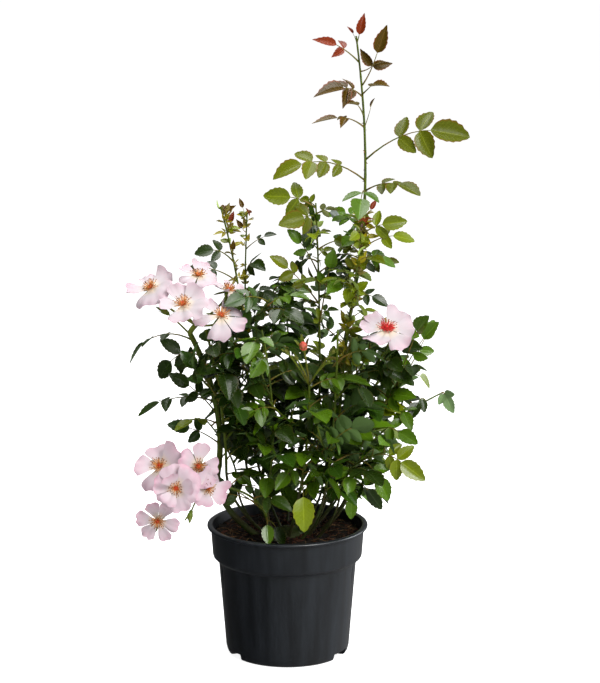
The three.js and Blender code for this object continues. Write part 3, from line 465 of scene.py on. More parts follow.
def tubes(paths, radii, sides):
    """Skins of K limbs as (points, quads, tris).

    paths (K, n, 3), radii (K, n) or (K, n, sides). At each path point the corner at angle a lies
    radius * (cos a * across + sin a * other) away, with across and other square to the path. Both
    ends close on a point of the path.
    """
    count, n = paths.shape[:2]
    along = unit(np.gradient(paths, axis=1))
    mean = np.abs(unit(paths[:, -1] - paths[:, 0]))
    hint = np.where(mean[:, 1:2] > 0.8, np.array([[1.0, 0, 0]]), np.array([[0, 1.0, 0]]))[:, None, :]
    across = unit(np.cross(np.broadcast_to(hint, along.shape), along))
    other = np.cross(along, across)
    radii = radii if radii.ndim == 3 else radii[..., None] * np.ones(sides)
    ring = spoke(across[:, :, None], other[:, :, None], circle(sides))
    skin = paths[:, :, None] + radii[..., None] * ring
    points = np.concatenate([skin.reshape(count, n * sides, 3), paths[:, :1], paths[:, -1:]], 1)
    return points, *ring_faces(n, sides)


def tube(path, radii, sides):
    """The skin of one limb."""
    return tubes(path[None], radii[None], sides)


BLADE_ROWS = 12


def blade_layout():
    """Places, faces and UV of one leaflet: a base point, rows of five points, a tip point.

    Returns s along the leaflet, w across it from -1 to 1, the tooth of its row (1 out, -1 in), then
    the faces of four and of three corners.
    """
    s, w, tooth = [0.0], [0.0], [0.0]
    for row in range(1, BLADE_ROWS):
        s += [row / BLADE_ROWS] * 5
        w += [-1, -0.5, 0, 0.5, 1]
        tooth += [1 if row % 2 else -1] * 5
    s, w, tooth = s + [1.0], w + [0.0], tooth + [0.0]
    quads = grid_faces(BLADE_ROWS - 1, 5)[:, ::-1] + 1
    end = len(s) - 1
    j = np.arange(4)
    first = np.stack([np.zeros(4, int), 1 + j + 1, 1 + j], -1)[:, ::-1]
    last = np.stack([np.full(4, end), end - 5 + j, end - 5 + j + 1], -1)[:, ::-1]
    return np.array(s), np.array(w, float), np.array(tooth), quads, np.concatenate([first, last])


def blades(base, along, normal, length, width, fold, arch, twist, teeth=0.045, point=0.8):
    """Leaflets as (points, quads, tris, UV), for K leaflets at once.

    At s along and w across, the point is base + along * s * length + across * w * half(s)
    + normal * (fold * |w| * half(s) - arch * s^2 * length + twist * w * half(s) * s + a slight
    ripple between the side veins).
    half(s) = s^0.62 * (1 - s)^point over its own largest value, whose rim goes in and out by the teeth;
    a larger point gives a sharper tip.
    """
    s, w, tooth, quads, tris = blade_layout()
    across = unit(np.cross(normal, along))
    edge = np.abs(w) > 0.9
    widest = 0.62 / (0.62 + point)
    half = (s / widest) ** 0.62 * ((1 - s) / (1 - widest)) ** point * (1 + teeth * tooth * edge)
    length = length[:, None]
    reach = s * length + 0.012 * length * tooth * edge
    half = half * (width[:, None] * length / 2)
    side = w * half
    ripple = 0.012 * length * np.sin(2 * np.pi * 5.5 * s) * (np.abs(w) == 0.5)
    rise = fold[:, None] * np.abs(side) - arch[:, None] * s ** 2 * length
    rise = rise + twist[:, None] * side * s + ripple
    points = (
        base[:, None] + along[:, None] * reach[..., None] + across[:, None] * side[..., None]
        + normal[:, None] * rise[..., None]
    )
    return points, quads, tris, np.stack([s, (w + 1) / 2], -1)


def eggs(centres, axes, radii, lengths, rings, sides, blunt):
    """Closed egg shapes (points, quads, tris): a circle of radius * sin(pi t)^blunt along each axis."""
    t = (np.arange(rings) + 0.5) / rings
    profile = np.sin(np.pi * t) ** blunt
    places = centres[:, None] + axes[:, None] * ((t - 0.5) * lengths[:, None])[..., None]
    points, quads, tris = tubes(places, radii[:, None] * profile, sides)
    half = axes * (lengths / 2)[:, None]
    points[:, -2] = centres - half
    points[:, -1] = centres + half
    return points, quads, tris


def egg(centre, axis, radius, length, rings, sides, blunt):
    """One closed egg shape."""
    return eggs(centre[None], axis[None], np.array([radius]), np.array([length]), rings, sides, blunt)


# ---- the growing rule ---------------------------------------------------------------------------
class Shoot:
    """A shoot's curves: its cane from foot to neck and its stem from neck to tip."""

    def __init__(self, row):
        self.name, foot, bow, neck, tip, self.radii = row[:6]
        self.start = np.array([foot[0], foot[1], FOOT_Z])
        self.neck, self.tip = vec(neck), vec(tip)
        self.lean = (self.start + self.neck) / 2 + np.array([bow[0], bow[1], 0.0])
        heading = unit(self.neck - self.lean)
        self.turn = self.neck + heading * 0.45 * np.linalg.norm(self.tip - self.neck)
        self.leaving = unit(self.tip - self.turn)

    def cane(self, t):
        return bend(self.start, self.lean, self.neck, t)

    def stem(self, t):
        return bend(self.neck, self.turn, self.tip, t)


def in_crown(p):
    """Which points lie in the crown: between its edges at their height, not too deep, clear of the truss."""
    z = p[:, 2] + CROWN_LEAN * p[:, 1]
    left = np.interp(z, CROWN[:, 0], CROWN[:, 1])
    right = np.interp(z, CROWN[:, 0], CROWN[:, 2])
    level = (p[:, 2] - CROWN_MIDDLE_Z) / CROWN_HALF_HEIGHT
    depth = CROWN_DEPTH * np.sqrt(np.maximum(0.02, 1 - level ** 2))
    x, z_middle, half_width, half_height, back = TRUSS
    truss = (np.abs(p[:, 0] - x) < half_width) & (np.abs(p[:, 2] - z_middle) < half_height) & (p[:, 1] < back)
    inside = ~truss & (z >= CROWN[0, 0]) & (z < CROWN[-1, 0]) & (p[:, 2] > SOIL_Z + SOIL_CLEARANCE)
    return inside & (p[:, 0] > left) & (p[:, 0] < right) & (np.abs(p[:, 1] - CROWN_MIDDLE_Y) < depth)


def leaf_plan(start, end, arch, hint, pairs, size, draw):
    """A compound leaf: its stalk's curve and the base, direction, normal and length of each leaflet."""
    lean = (start + end) / 2 + UP * arch
    stations = ((), (0.7,), (0.52, 0.84), (0.4, 0.62, 0.84))[pairs]
    shares = (0.92, 0.74, 0.6)
    rows = []

    def axes(q):
        along = unit((lean - start) * (1 - q) + (end - lean) * q)
        side = unit(np.cross(along, hint))
        return along, side, np.cross(side, along)

    def add(q, reach, up, drop, length):
        rows.append((
            bend(start, lean, end, q),
            reach * math.cos(drop) - up * math.sin(drop),
            up * math.cos(drop) + reach * math.sin(drop),
            length,
        ))

    for k, q in enumerate(stations):
        share = shares[len(stations) - 1 - k]
        along, side, up = axes(q)
        for sign in (-1, 1):
            open_angle = math.radians(66 + draw(-6, 6))
            drop = math.radians(draw(0, 26))
            reach = along * math.cos(open_angle) + side * sign * math.sin(open_angle)
            add(q, reach, up, drop, size * share * draw(0.92, 1.06))
    along, side, up = axes(1.0)
    drop = math.radians(draw(0, 22))
    add(1.0, along, up, drop, size * 1.28 * draw(0.95, 1.05))
    base, reach, normal, length = (np.array([r[i] for r in rows]) for i in range(4))
    return {"path": (start, lean, end), "base": base, "along": reach, "normal": normal, "length": length}


class Room:
    """What is taken: each leaf as a plain kite for every leaflet, tested against all that lie near it."""

    def __init__(self):
        self.low, self.high, self.trees = [], [], []

    def kites(self, plan):
        across = unit(np.cross(plan["normal"], plan["along"]))
        length = plan["length"][:, None]
        middle = plan["base"] + plan["along"] * 0.5 * length
        return np.stack([
            plan["base"] + plan["along"] * 0.1 * length, middle + across * 0.27 * length,
            plan["base"] + plan["along"] * 0.94 * length, middle - across * 0.27 * length,
        ], 1)

    def take(self, corners, faces):
        self.low.append(corners.min(0))
        self.high.append(corners.max(0))
        self.trees.append(BVHTree.FromPolygons(corners.tolist(), faces.tolist()))

    def fits(self, plan):
        kites = self.kites(plan)
        corners = kites.reshape(-1, 3)
        faces = np.arange(len(corners)).reshape(-1, 4)
        tree = BVHTree.FromPolygons(corners.tolist(), faces.tolist())
        near = (np.array(self.low) < corners.max(0)).all(1) & (np.array(self.high) > corners.min(0)).all(1)
        if any(self.trees[i].overlap(tree) for i in np.flatnonzero(near)):
            return False
        self.take(corners, faces)
        return True


def rule_leaf(stem, turn_offset, first, count, size, stalk, rise, k, seed):
    """The k-th leaf of a stem by rule: a golden turn further round, rising, its tip leaning outwards."""
    draw = stream(seed)
    t = first + (1 - first) * (k + draw(0.2, 0.8)) / count
    turn = math.radians(GOLDEN * k + turn_offset + draw(-25, 25))
    climb = math.radians(rise + draw(-22, 18))
    reach = stalk * draw(0.7, 1.25)
    shade = draw()
    pairs = 3 if draw() > 0.62 else 2
    tip = math.radians(draw(28, 72))
    way = turn + math.radians(draw(-40, 40))
    length = size * draw(0.85, 1.15)
    start = stem(t)
    end = start + reach * np.array([
        math.cos(turn) * math.cos(climb),
        math.sin(turn) * math.cos(climb),
        math.sin(climb) - 0.28,
    ])
    hint = np.array([math.sin(tip) * math.cos(way), math.sin(tip) * math.sin(way), math.cos(tip)])
    plan = leaf_plan(start, end, reach * 0.16, hint, 1 if stalk < 40 else pairs, length, draw)
    plan["shade"] = shade
    return plan


def grow():
    """All shoots, side twigs and leaves: each leaf is a plan with its shoot's name and its tint's letter."""
    shoots = {row[0]: Shoot(row) for row in SHOOTS}
    room = Room()
    for shoot in shoots.values():
        for curve, radius in ((shoot.cane, shoot.radii[0]), (shoot.stem, shoot.radii[1])):
            points, quads, _ = tubes(curve(np.linspace(0, 1, 12))[None], np.full((1, 12), radius * 0.5), 4)
            room.take(points[0], quads)
    for _, place, facing, diameter, *_ in BLOOMS:
        centre, front = vec(place), unit(vec(facing))
        side, other = face_axes(front)
        r = diameter * 0.4
        corners = centre + front * 0.3 * r + r * np.array([side, other, -side, -other])
        room.take(corners, np.array([[0, 1, 2, 3]]))
    leaves, twigs = [], []
    for i, (name, t, end, arch, tilt, pairs, size, tint) in enumerate(LEAVES):
        hint = np.array([0.0, -math.sin(math.radians(tilt)), math.cos(math.radians(tilt))])
        plan = leaf_plan(shoots[name].stem(t), vec(end), arch, hint, pairs, size, stream(PLACED_SEED + i))
        room.fits(plan)
        leaves.append({**plan, "shoot": name, "tint": tint})

    def fill(stem, name, tints, offset, first, count, size, stalk, rise, seed):
        for k in range(count):
            for attempt in range(TRIES):
                turn = offset + RETRY_TURN * attempt
                plan = rule_leaf(stem, turn, first, count, size, stalk, rise, k, seed + k * 10 + attempt)
                tips = plan["base"] + plan["along"] * plan["length"][:, None]
                if in_crown(tips).all() and room.fits(plan):
                    tint = tints[int(plan["shade"] * len(tints)) % len(tints)]
                    leaves.append({**plan, "shoot": name, "tint": tint})
                    break

    for i, (name, first, count, size, stalk, tints) in enumerate(TUFTS):
        for k in range(count):
            seed = TUFT_SEED + 100 * i + k
            plan = rule_leaf(shoots[name].stem, 40 * i, first, count, size, stalk, 62, k, seed)
            if room.fits(plan):
                leaves.append({**plan, "shoot": name, "tint": tints[k % len(tints)]})
    for i, row in enumerate(SHOOTS):
        name, count, size, stalk, rise, first, side_count, tints = (row[0], *row[6:])
        shoot = shoots[name]
        if name not in ("leader", "low_left"):
            low_count, low_first, low_stalk, low_rise = CANE_LEAVES
            fill(shoot.cane, name, tints, 57 * i + 20, low_first, low_count, size * 0.85, low_stalk, low_rise,
                 CANE_LEAF_SEED + 1000 * i)
        fill(shoot.stem, name, tints, 57 * i, first, count, size, stalk, rise, STEM_SEED * (i + 1))
        for k in range(side_count):
            draw = stream(TWIG_SEED + 100 * i + k)
            t = (k + draw(0.3, 0.7)) / side_count * 0.85
            turn = math.radians(GOLDEN * k + 97 * i + draw(-30, 30))
            start = shoot.stem(t)
            length = draw(70, 110)
            end = start + length * np.array([0.75 * math.cos(turn), 0.75 * math.sin(turn), 0.62])
            if not in_crown(end[None]).all():
                end = start + length * np.array([-0.5 * math.cos(turn), -0.5 * math.sin(turn), 0.8])
            run = end - start
            lean = start + run * 0.5 + np.array([0.14 * run[0], 0.14 * run[1], -6.0])
            twigs.append((start, lean, end))
            fill(lambda q, a=start, c=lean, b=end: bend(a, c, b, q), name, tints, 57 * i + 31 * k, 0.2, 6,
                 size * 0.92, stalk * 0.9, rise, TWIG_LEAF_SEED + 1000 * i + 100 * k)
    return shoots, leaves, twigs


# ---- shader groups ------------------------------------------------------------------------------
def new_group(name, inputs, outputs):
    """A shader node group with the given sockets: (name, kind, value)."""
    group = bpy.data.node_groups.new(name, "ShaderNodeTree")
    for title, kind, value in inputs:
        socket = group.interface.new_socket(title, in_out="INPUT", socket_type=kind)
        socket.default_value = value
    for title, kind in outputs:
        group.interface.new_socket(title, in_out="OUTPUT", socket_type=kind)
    return group, group.nodes.new("NodeGroupInput"), group.nodes.new("NodeGroupOutput")


def put(tree, kind, **values):
    """A new node; inputs are set by socket name with underscores for spaces, properties by their own name."""
    node = tree.nodes.new(kind)
    for key, value in values.items():
        socket = key.replace("_", " ")
        if hasattr(node, key):
            setattr(node, key, value)
        else:
            node.inputs[socket].default_value = value
    return node


def maths(tree, operation, a, b=0.0, clamp=False):
    """A maths node; a and b are numbers or sockets."""
    node = tree.nodes.new("ShaderNodeMath")
    node.operation = operation
    node.use_clamp = clamp
    for socket, value in zip(node.inputs, (a, b)):
        if isinstance(value, (int, float)):
            socket.default_value = value
        else:
            tree.links.new(value, socket)
    return node.outputs[0]


def blend(tree, factor, a, b, mode="MIX"):
    """A colour mix; factor, a and b are values or sockets."""
    node = tree.nodes.new("ShaderNodeMix")
    node.data_type = "RGBA"
    node.blend_type = mode
    for index, value in ((0, factor), (6, a), (7, b)):
        if isinstance(value, bpy.types.NodeSocket):
            tree.links.new(value, node.inputs[index])
        else:
            node.inputs[index].default_value = (*value[:3], 1.0) if index else value
    return node.outputs[2]


def noise(tree, vector, scale):
    """A noise texture on the given coordinates; its value output."""
    node = put(tree, "ShaderNodeTexNoise", Scale=scale)
    tree.links.new(vector, node.inputs["Vector"])
    return node.outputs["Fac"]


def ramp(tree, value, low=0.0, high=1.0, first=0.0, last=1.0):
    """A value carried from the span low to high onto the span first to last, and held at its ends."""
    node = put(tree, "ShaderNodeMapRange", From_Min=low, From_Max=high, To_Min=first, To_Max=last)
    tree.links.new(value, node.inputs["Value"])
    return node.outputs[0]


def shaded(tree, shade, value):
    """A colour times a value."""
    grey = tree.nodes.new("ShaderNodeCombineColor")
    for socket in grey.inputs[:3]:
        tree.links.new(value, socket)
    return blend(tree, 1.0, shade, grey.outputs[0], "MULTIPLY")


def object_place(tree):
    """The place on the object, in its own coordinates."""
    return tree.nodes.new("ShaderNodeTexCoord").outputs["Object"]


def uv_axes(tree):
    """The UV layer's first and second value."""
    uv = put(tree, "ShaderNodeUVMap", uv_map="UVMap")
    split = tree.nodes.new("ShaderNodeSeparateXYZ")
    tree.links.new(uv.outputs[0], split.inputs[0])
    return split.outputs[0], split.outputs[1]


def mottle_group():
    """Colour that wanders lighter and darker over the surface, and a fine grain height."""
    group, start, end = new_group(
        "Mottle",
        (("Colour", "NodeSocketColor", (0.5, 0.5, 0.5, 1)), ("Second", "NodeSocketColor", (0.5, 0.5, 0.5, 1)),
         ("Amount", "NodeSocketFloat", 0.5), ("Scale", "NodeSocketFloat", 40.0),
         ("Grain", "NodeSocketFloat", 400.0), ("Upright", "NodeSocketFloat", 1.0)),
        (("Colour", "NodeSocketColor"), ("Height", "NodeSocketFloat"), ("Mask", "NodeSocketFloat")),
    )
    level = group.nodes.new("ShaderNodeCombineXYZ")
    level.inputs[0].default_value = level.inputs[1].default_value = 1.0
    group.links.new(start.outputs["Upright"], level.inputs[2])
    drawn = put(group, "ShaderNodeVectorMath", operation="MULTIPLY")
    group.links.new(object_place(group), drawn.inputs[0])
    group.links.new(level.outputs[0], drawn.inputs[1])
    broad = group.nodes.new("ShaderNodeTexNoise")
    fine = group.nodes.new("ShaderNodeTexNoise")
    for node, socket in ((broad, "Scale"), (fine, "Grain")):
        group.links.new(drawn.outputs[0], node.inputs["Vector"])
        group.links.new(start.outputs[socket], node.inputs["Scale"])
        node.inputs["Detail"].default_value = 3.0
    steep = ramp(group, broad.outputs["Fac"], 0.35, 0.65)
    factor = maths(group, "MULTIPLY", steep, start.outputs["Amount"], True)
    mixed = blend(group, factor, start.outputs["Colour"], start.outputs["Second"])
    speck = ramp(group, fine.outputs["Fac"], 0.3, 0.7, 0.82, 1.16)
    group.links.new(shaded(group, mixed, speck), end.inputs["Colour"])
    group.links.new(fine.outputs["Fac"], end.inputs["Height"])
    group.links.new(steep, end.inputs["Mask"])
    return group


def leaf_group():
    """A leaflet's upper side from its UV: paler midrib and side veins, a tinted rim, each leaf's tone."""
    group, start, end = new_group(
        "Leaf face",
        (("Blade", "NodeSocketColor", (0.02, 0.06, 0.01, 1)),
         ("Vein", "NodeSocketColor", (0.1, 0.2, 0.05, 1)),
         ("Rim", "NodeSocketColor", (0.1, 0.05, 0.02, 1)), ("Rim amount", "NodeSocketFloat", 0.3)),
        (("Colour", "NodeSocketColor"), ("Height", "NodeSocketFloat")),
    )
    out, over = uv_axes(group)
    across = maths(group, "ABSOLUTE", maths(group, "SUBTRACT", maths(group, "MULTIPLY", over, 2.0), 1.0))
    midrib = ramp(group, across, 0.02, 0.1, 1.0, 0.0)
    slant = maths(group, "MULTIPLY", across, 2.2)
    slant = maths(group, "SUBTRACT", maths(group, "MULTIPLY", out, 9.0), slant)
    side = ramp(group, maths(group, "COSINE", maths(group, "MULTIPLY", slant, 2 * math.pi)), 0.78, 1.0)
    vein = maths(group, "MAXIMUM", midrib, maths(group, "MULTIPLY", side, 0.4))
    rim = maths(group, "MULTIPLY", ramp(group, across, 0.8, 1.0), start.outputs["Rim amount"])
    tone = put(group, "ShaderNodeAttribute", attribute_name="tone")
    toned = shaded(group, start.outputs["Blade"], ramp(group, tone.outputs["Fac"], first=0.5, last=1.6))
    veined = blend(group, maths(group, "MULTIPLY", vein, 0.55), toned, start.outputs["Vein"])
    group.links.new(blend(group, rim, veined, start.outputs["Rim"]), end.inputs["Colour"])
    group.links.new(maths(group, "SUBTRACT", 1.0, vein), end.inputs["Height"])
    return group


def petal_group():
    """A petal from its UV: whitish claw, pale middle and a deeper blush towards the rim, with fine rays."""
    group, start, end = new_group(
        "Petal face",
        (("Claw", "NodeSocketColor", (0.9, 0.9, 0.8, 1)), ("Pale", "NodeSocketColor", (0.9, 0.7, 0.8, 1)),
         ("Blush", "NodeSocketColor", (0.8, 0.4, 0.6, 1))),
        (("Colour", "NodeSocketColor"), ("Height", "NodeSocketFloat")),
    )
    out, over = uv_axes(group)
    cloud = noise(group, object_place(group), 70.0)
    edge = maths(group, "MULTIPLY", ramp(group, out, 0.45, 1.0), cloud)
    tone = put(group, "ShaderNodeAttribute", attribute_name="tone")
    depth = maths(group, "MULTIPLY", edge, maths(group, "ADD", tone.outputs["Fac"], 0.7), True)
    pale = blend(group, ramp(group, out, 0.08, 0.42), start.outputs["Claw"], start.outputs["Pale"])
    group.links.new(blend(group, depth, pale, start.outputs["Blush"]), end.inputs["Colour"])
    group.links.new(maths(group, "SINE", maths(group, "MULTIPLY", over, 130.0)), end.inputs["Height"])
    return group


def new_material(name):
    """A material with its Principled shader and output, and the tree to add to."""
    material = bpy.data.materials.new(name)
    material.use_nodes = True
    tree = material.node_tree
    return material, tree, tree.nodes["Principled BSDF"]


def add_group(tree, group, **values):
    """An instance of a group with its own values."""
    node = tree.nodes.new("ShaderNodeGroup")
    node.node_tree = group
    for key, value in values.items():
        name = key.replace("_", " ")
        node.inputs[name].default_value = value if isinstance(value, float) else (*value[:3], 1.0)
    return node


def add_bump(tree, shader, height, strength, distance):
    """A bump from a height socket into the shader's normal."""
    node = put(tree, "ShaderNodeBump", Strength=strength, Distance=distance)
    tree.links.new(height, node.inputs["Height"])
    tree.links.new(node.outputs[0], shader.inputs["Normal"])


def mottled(name, colour, second, amount, scale, grain, roughness, bump, shine=0.2, upright=1.0):
    """A material whose colour wanders between two, with a fine grain; upright under 1 stretches it in Z."""
    material, tree, shader = new_material(name)
    group = bpy.data.node_groups.get("Mottle") or mottle_group()
    node = add_group(tree, group, Colour=colour, Second=second, Amount=amount, Scale=scale, Grain=grain,
                     Upright=upright)
    tree.links.new(node.outputs["Colour"], shader.inputs["Base Color"])
    rough = ramp(tree, node.outputs["Mask"], first=roughness - 0.06, last=roughness + 0.06)
    tree.links.new(rough, shader.inputs["Roughness"])
    shader.inputs["Specular IOR Level"].default_value = shine
    add_bump(tree, shader, node.outputs["Height"], bump, 0.0006)
    return material


def leaf_material(name, blade, vein, rim, rim_amount, under, roughness, shine):
    """A glossy upper side with veins and a dull, paler underside."""
    material, tree, shader = new_material(name)
    group = bpy.data.node_groups.get("Leaf face") or leaf_group()
    node = add_group(tree, group, Blade=blade, Vein=vein, Rim=rim, Rim_amount=rim_amount)
    back = tree.nodes.new("ShaderNodeNewGeometry").outputs["Backfacing"]
    tree.links.new(blend(tree, back, node.outputs["Colour"], under), shader.inputs["Base Color"])
    patchy = ramp(tree, noise(tree, object_place(tree), 60.0), 0.3, 0.7, roughness - 0.06, roughness + 0.1)
    dull = maths(tree, "ADD", patchy, maths(tree, "MULTIPLY", back, 0.25), True)
    tree.links.new(dull, shader.inputs["Roughness"])
    shader.inputs["Specular IOR Level"].default_value = shine
    add_bump(tree, shader, node.outputs["Height"], 0.35, 0.0005)
    return material


# ---- settings -----------------------------------------------------------------------------------
def colour(name, description, srgb):
    """A colour setting."""
    return FloatVectorProperty(
        name=name, description=description, default=linear(srgb), size=3, min=0, max=1, subtype="COLOR",
    )


class RosePotSettings(PropertyGroup):
    """The pot and the soil in it."""

    plastic: colour("Plastic", "Colour of the pot's plastic", (16, 19, 23))
    # Lighter colour of the pot's upright streaks: painted soft vertical reflections, mixed with dust and wear
    plastic_sheen_and_wear: colour("Plastic sheen and wear", "Colour of the lighter upright streaks: painted soft reflections, mixed with dust and wear", (29, 34, 40))
    soil: colour("Soil", "Colour of the moist soil", (16, 11, 6))
    soil_dry: colour("Dry soil", "Colour of the soil's drier crumbs", (32, 22, 15))
    roughness: FloatProperty(
        name="Roughness", description="How dull the plastic is", default=0.34, min=0.05, max=1,
    )


class RoseWoodSettings(PropertyGroup):
    """The canes, stems and stalks."""

    bark: colour("Bark", "Colour of old canes near the soil", (66, 56, 36))
    cane: colour("Cane", "Colour of the canes higher up", (58, 74, 30))
    stem: colour("Stem", "Colour of the green stems", (80, 94, 12))
    stalk: colour("Stalk", "Colour of the leaf stalks", (80, 92, 24))
    prickle: colour("Prickle", "Colour of the prickles", (140, 88, 52))


class RoseLeafSettings(PropertyGroup):
    """The leaflets."""

    deep: colour("Deep green", "Colour of the oldest leaves", (31, 49, 6))
    holly: colour("Holly green", "Colour of leaves a little lighter", (40, 68, 9))
    mid: colour("Mid green", "Colour of full grown leaves", (66, 96, 8))
    lime: colour("Lime", "Colour of young green leaves", (96, 110, 5))
    bronze: colour("Bronze", "Colour of young bronze leaves", (74, 56, 8))
    red: colour("Red bronze", "Colour of the newest leaves", (104, 38, 12))
    gold: colour("Gold", "Colour of the smallest new leaves on young shoots", (138, 130, 14))
    olive: colour("Olive", "Colour of the leader's grown leaves", (78, 86, 10))
    pale: colour("Underside", "Colour of leaves that show their underside", (112, 140, 92))
    width: FloatProperty(
        name="Width", description="Width of a leaflet over its length", default=0.62, min=0.3, max=0.9,
    )
    roughness: FloatProperty(
        name="Roughness", description="Roughness of the upper side", default=0.27, min=0.05, max=1,
    )


class RoseBloomSettings(PropertyGroup):
    """The blooms."""

    claw: colour("Claw", "Colour of a petal's foot", (226, 214, 188))
    pale: colour("Petal", "Colour of the middle of the pale blooms' petals", (188, 179, 184))
    blush: colour("Blush", "Deeper colour towards the pale petals' rims", (190, 154, 170))
    rose: colour("Rosy petal", "Colour of the middle of the lower blooms' petals", (203, 187, 195))
    rose_blush: colour("Rosy blush", "Deeper colour towards the rosy petals' rims", (196, 148, 168))
    heart: colour("Filaments", "Colour of the stamens' filaments", (226, 156, 84))
    anther: colour("Anthers", "Colour of the stamens' heads", (98, 42, 24))
    style: colour("Styles", "Colour of the knot of styles in the middle", (186, 40, 24))
    star: colour("Star", "Colour of the red filaments and styles of the right bloom", (212, 52, 58))
    sepal: colour("Sepals", "Colour of sepals and hips", (84, 108, 30))


class RoseStageSettings(PropertyGroup):
    """The floor, the lights and the camera."""

    floor: colour("Floor", "Colour of the floor", (226, 226, 226))
    distance: FloatProperty(
        name="Distance", description="Camera's distance in front of the plant", default=2.9, unit="LENGTH",
    )
    height: FloatProperty(name="Height", description="Camera's height", default=1.01, unit="LENGTH")
    key: FloatProperty(
        name="Key light", description="Power of the main soft light", default=105.0, min=0, unit="POWER",
    )
    ambient: FloatProperty(
        name="Ambient", description="Strength of the light from all sides", default=0.3, min=0,
    )


# ---- operators ----------------------------------------------------------------------------------
class ROSE_OT_pot(Operator):
    """Make the turned pot with its rolled lip, stepped collar, notches and flutes"""

    bl_idname = "rose.make_pot"
    bl_label = "Pot"

    def execute(self, context):
        """Profile turned about Z: its place (r, z) at angle a is the point (r cos a, r sin a, z).

        Inside a notch's angles the profile's foot is swapped for one that steps in and up, and a
        flute pulls r in by a smooth hollow that narrows downwards.
        """
        settings = context.scene.rose_pot
        body = lambda z: BODY_FOOT + (BODY_TOP - BODY_FOOT) * z / BODY_TOP_Z
        foot = [(0, 0), (40, 0), (60, 0), (76, 0), (FLAT_RADIUS, 0), (FLAT_RADIUS + 2, 0.5),
                (FLAT_RADIUS + 3.4, 1.7), (FLAT_RADIUS + 4.4, 3.6), (BODY_FOOT - 0.1, 6),
                (body(NOTCH_HEIGHT), NOTCH_HEIGHT)]
        inner = FLAT_RADIUS - NOTCH_DEPTH
        cut = [(0, 0), (40, 0), (60, 0), (inner - 0.6, 0), (inner, 0.3), (inner, 3),
               (inner, NOTCH_HEIGHT - 0.5), (inner + 0.4, NOTCH_HEIGHT), (76, NOTCH_HEIGHT),
               (body(NOTCH_HEIGHT), NOTCH_HEIGHT)]
        wall = [(body(z), z) for z in np.linspace(NOTCH_HEIGHT + 2, BODY_TOP_Z - 1.5, 26)]
        step = [(BODY_TOP + 0.5, BODY_TOP_Z), (COLLAR_FOOT - 2.2, COLLAR_FOOT_Z - 4.4),
                (COLLAR_FOOT - 0.5, COLLAR_FOOT_Z - 2.6), (COLLAR_FOOT, COLLAR_FOOT_Z)]
        collar = [(COLLAR_FOOT + (COLLAR_TOP - COLLAR_FOOT) * s, COLLAR_FOOT_Z + COLLAR_RISE * s)
                  for s in np.linspace(0.1, 0.98, 8)]
        collar_inside = COLLAR_TOP - WALL
        lip = [(COLLAR_TOP + 0.4, 179.2), (LIP_RADIUS - 1.4, 180), (LIP_RADIUS - 0.3, 180.7),
               (LIP_RADIUS, 181.8), (LIP_RADIUS - 0.3, 183), (LIP_RADIUS - 1.3, 183.8),
               (LIP_RADIUS - 2.6, POT_HEIGHT),
               (collar_inside + 1.4, POT_HEIGHT), (collar_inside + 0.3, 183.4), (collar_inside, 182)]
        inside = [(COLLAR_FOOT - WALL, COLLAR_FOOT_Z + 1.5), (BODY_TOP - WALL, BODY_TOP_Z + 2),
                  (BODY_FOOT - WALL + 0.6, FLOOR_TOP), (0, FLOOR_TOP)]
        profile = np.array(foot + wall + step + collar + lip + inside, float)
        other = profile.copy()
        other[:len(cut)] = cut
        half = math.degrees(NOTCH_WIDTH / 2 / FLAT_RADIUS)
        angles = np.arange(0.0, 360.0, 2.5)
        edges = [a + s * (half + e) for a in NOTCH_ANGLES for s in (-1, 1) for e in (-0.05, 0.05)]
        angles = np.unique(np.round(np.concatenate([angles, np.mod(edges, 360)]), 3))

        def away(places):
            return np.abs((angles[:, None] - np.array(places) + 180) % 360 - 180).min(1)[:, None]

        rows = np.where(away(NOTCH_ANGLES)[..., None] < half, other, profile)
        radius, z = rows[..., 0], rows[..., 1]
        place = np.clip((z - FLUTE_FOOT_Z) / FLUTE_RISE, 0, 1)
        outer = np.arange(len(profile)) < len(foot) + len(wall)
        hollow = np.clip(1 - np.radians(away(FLUTE_ANGLES)) * radius / (1 + 2.6 * place), 0, 1)
        hollow = hollow * np.sin(np.pi * place * 0.5) * (place < 1) * outer
        radius = radius - FLUTE_DEPTH * hollow * (z > FLUTE_FOOT_Z)
        a = np.radians(angles)[:, None]
        points = np.stack([radius * np.cos(a), radius * np.sin(a), z], -1)
        rings = points[:, 1:-1].transpose(1, 0, 2)
        uv = np.stack(np.broadcast_arrays(angles / 360, rings[..., 2] / POT_HEIGHT), -1).reshape(-1, 2)
        made = Patches()
        made.add(*closed_skin(rings, (0, 0, 0), (0, 0, FLOOR_TOP)), np.concatenate([uv, [[0, 0], [0, 0]]]))
        # The plastic is streaked upright with the lighter colour: painted soft vertical reflections, mixed
        # with dust and wear
        material = mottled("Black plastic", settings.plastic, settings.plastic_sheen_and_wear, 0.8, 60.0, 300.0,
                           settings.roughness, 0.05, shine=0.62, upright=0.04)
        made.piece("nursery_pot", material, "pot", ["pot"], sharp=38)
        return {"FINISHED"}


